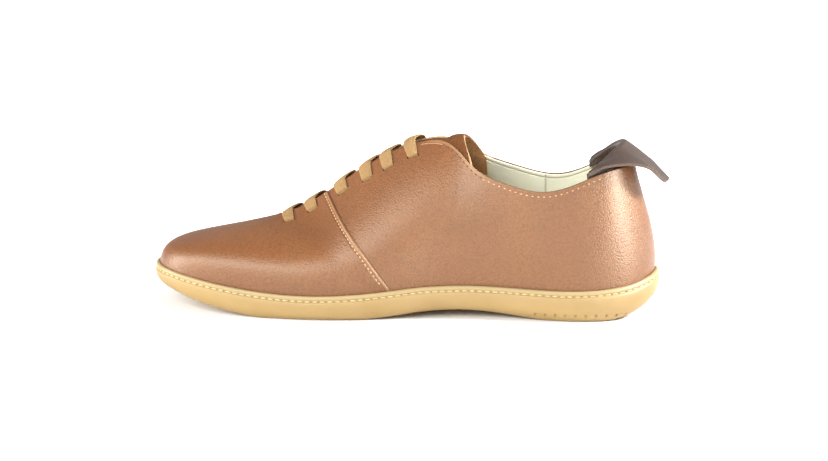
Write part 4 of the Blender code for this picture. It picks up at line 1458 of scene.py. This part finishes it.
# %% Floor
FLOOR_SIZE = 12.0
FLOOR_GAP = 0.00005
FOOTPRINT = (0.136, 0.050, 1.0)
GLOW_REACH = (0.9, 4.5)


def floor_finish():
    """White table that glows a little away from the shoe, as a lit backdrop does."""
    finish, tree, shader = new_finish(
        "white_table", {"Base Color": (0.90, 0.90, 0.90, 1.0), "Roughness": 0.9, "Specular IOR Level": 0.1},
    )
    shader.inputs["Emission Color"].default_value = (1.0, 1.0, 1.0, 1.0)
    place = on_piece(tree)
    shares = add_node(tree, "ShaderNodeVectorMath", {0: place, 1: FOOTPRINT}, operation="DIVIDE")
    away = add_node(tree, "ShaderNodeVectorMath", {0: shares.outputs["Vector"]}, operation="LENGTH")
    glow = stretch(tree, away.outputs["Value"], *GLOW_REACH)
    tree.links.new(glow, shader.inputs["Emission Strength"])
    return finish


floor_mesh = bpy.data.meshes.new("floor")
corner = FLOOR_SIZE / 2
floor_corners = [(x * corner, y * corner, -FLOOR_GAP) for x, y in ((-1, -1), (1, -1), (1, 1), (-1, 1))]
floor_mesh.from_pydata(floor_corners, [], [(0, 1, 2, 3)])
floor_mesh.materials.append(floor_finish())
floor = add_object("floor", floor_mesh)
print("floor", FLOOR_SIZE, "m wide")

# %% Lights
LOOK_AT_MM = (4.8, 0.0, 40.4)
LOOK_AT = Vector((LOOK_AT_MM - CENTRE) * MM)
TENT_STRENGTH = 0.47


def stand_around(placed, azimuth, elevation, distance):
    """Put a lamp or the camera around the shoe, so that it faces the shoe."""
    a = math.radians(azimuth)
    e = math.radians(elevation)
    back = Vector((math.sin(a) * math.cos(e), -math.cos(a) * math.cos(e), math.sin(e)))
    placed.location = LOOK_AT + back * distance
    placed.rotation_euler = (-back).to_track_quat("-Z", "Y").to_euler()


def panel(name, azimuth, elevation, distance, size, power, gloss_only=False):
    """Soft light panel that faces the shoe."""
    light = bpy.data.lights.new(name, "AREA")
    light.shape = "RECTANGLE"
    light.size, light.size_y = size
    light.energy = power
    lamp = add_object(name, light)
    lamp.visible_diffuse = not gloss_only
    stand_around(lamp, azimuth, elevation, distance)


world = bpy.data.worlds.new("light_tent")
world.use_nodes = True
tent = world.node_tree.nodes["Background"].inputs
tent["Color"].default_value = (1.0, 1.0, 1.0, 1.0)
tent["Strength"].default_value = TENT_STRENGTH
bpy.context.scene.world = world
panel("front_panel", -34, 28, 1.5, (1.8, 0.8), 29.5)
panel("toe_lamp", -82, 10, 0.8, (0.25, 0.25), 3.2)
panel("heel_lamp", 91, 29, 0.8, (0.14, 0.14), 11.0)
panel("heel_card", 57, 8, 0.8, (0.40, 0.27), 7.4, gloss_only=True)
panel("back_card", 80, 32, 0.8, (0.50, 0.50), 10.5, gloss_only=True)
print("lights", len(bpy.data.lights))

# %% Camera
CAMERA_AZIMUTH = 7.0
CAMERA_ELEVATION = 11.0
CAMERA_DISTANCE = 0.95
FRAME_WIDTH_PX = 828
MM_A_PX = 0.536
SENSOR_MM = 36.0
camera = bpy.data.cameras.new("camera")
camera.sensor_width = SENSOR_MM
camera.lens = camera.sensor_width * CAMERA_DISTANCE / (FRAME_WIDTH_PX * MM_A_PX * MM)
bpy.context.scene.camera = add_object("camera", camera)
stand_around(bpy.context.scene.camera, CAMERA_AZIMUTH, CAMERA_ELEVATION, CAMERA_DISTANCE)
bpy.context.scene.view_settings.view_transform = "Standard"
print("lens", round(camera.lens, 1))
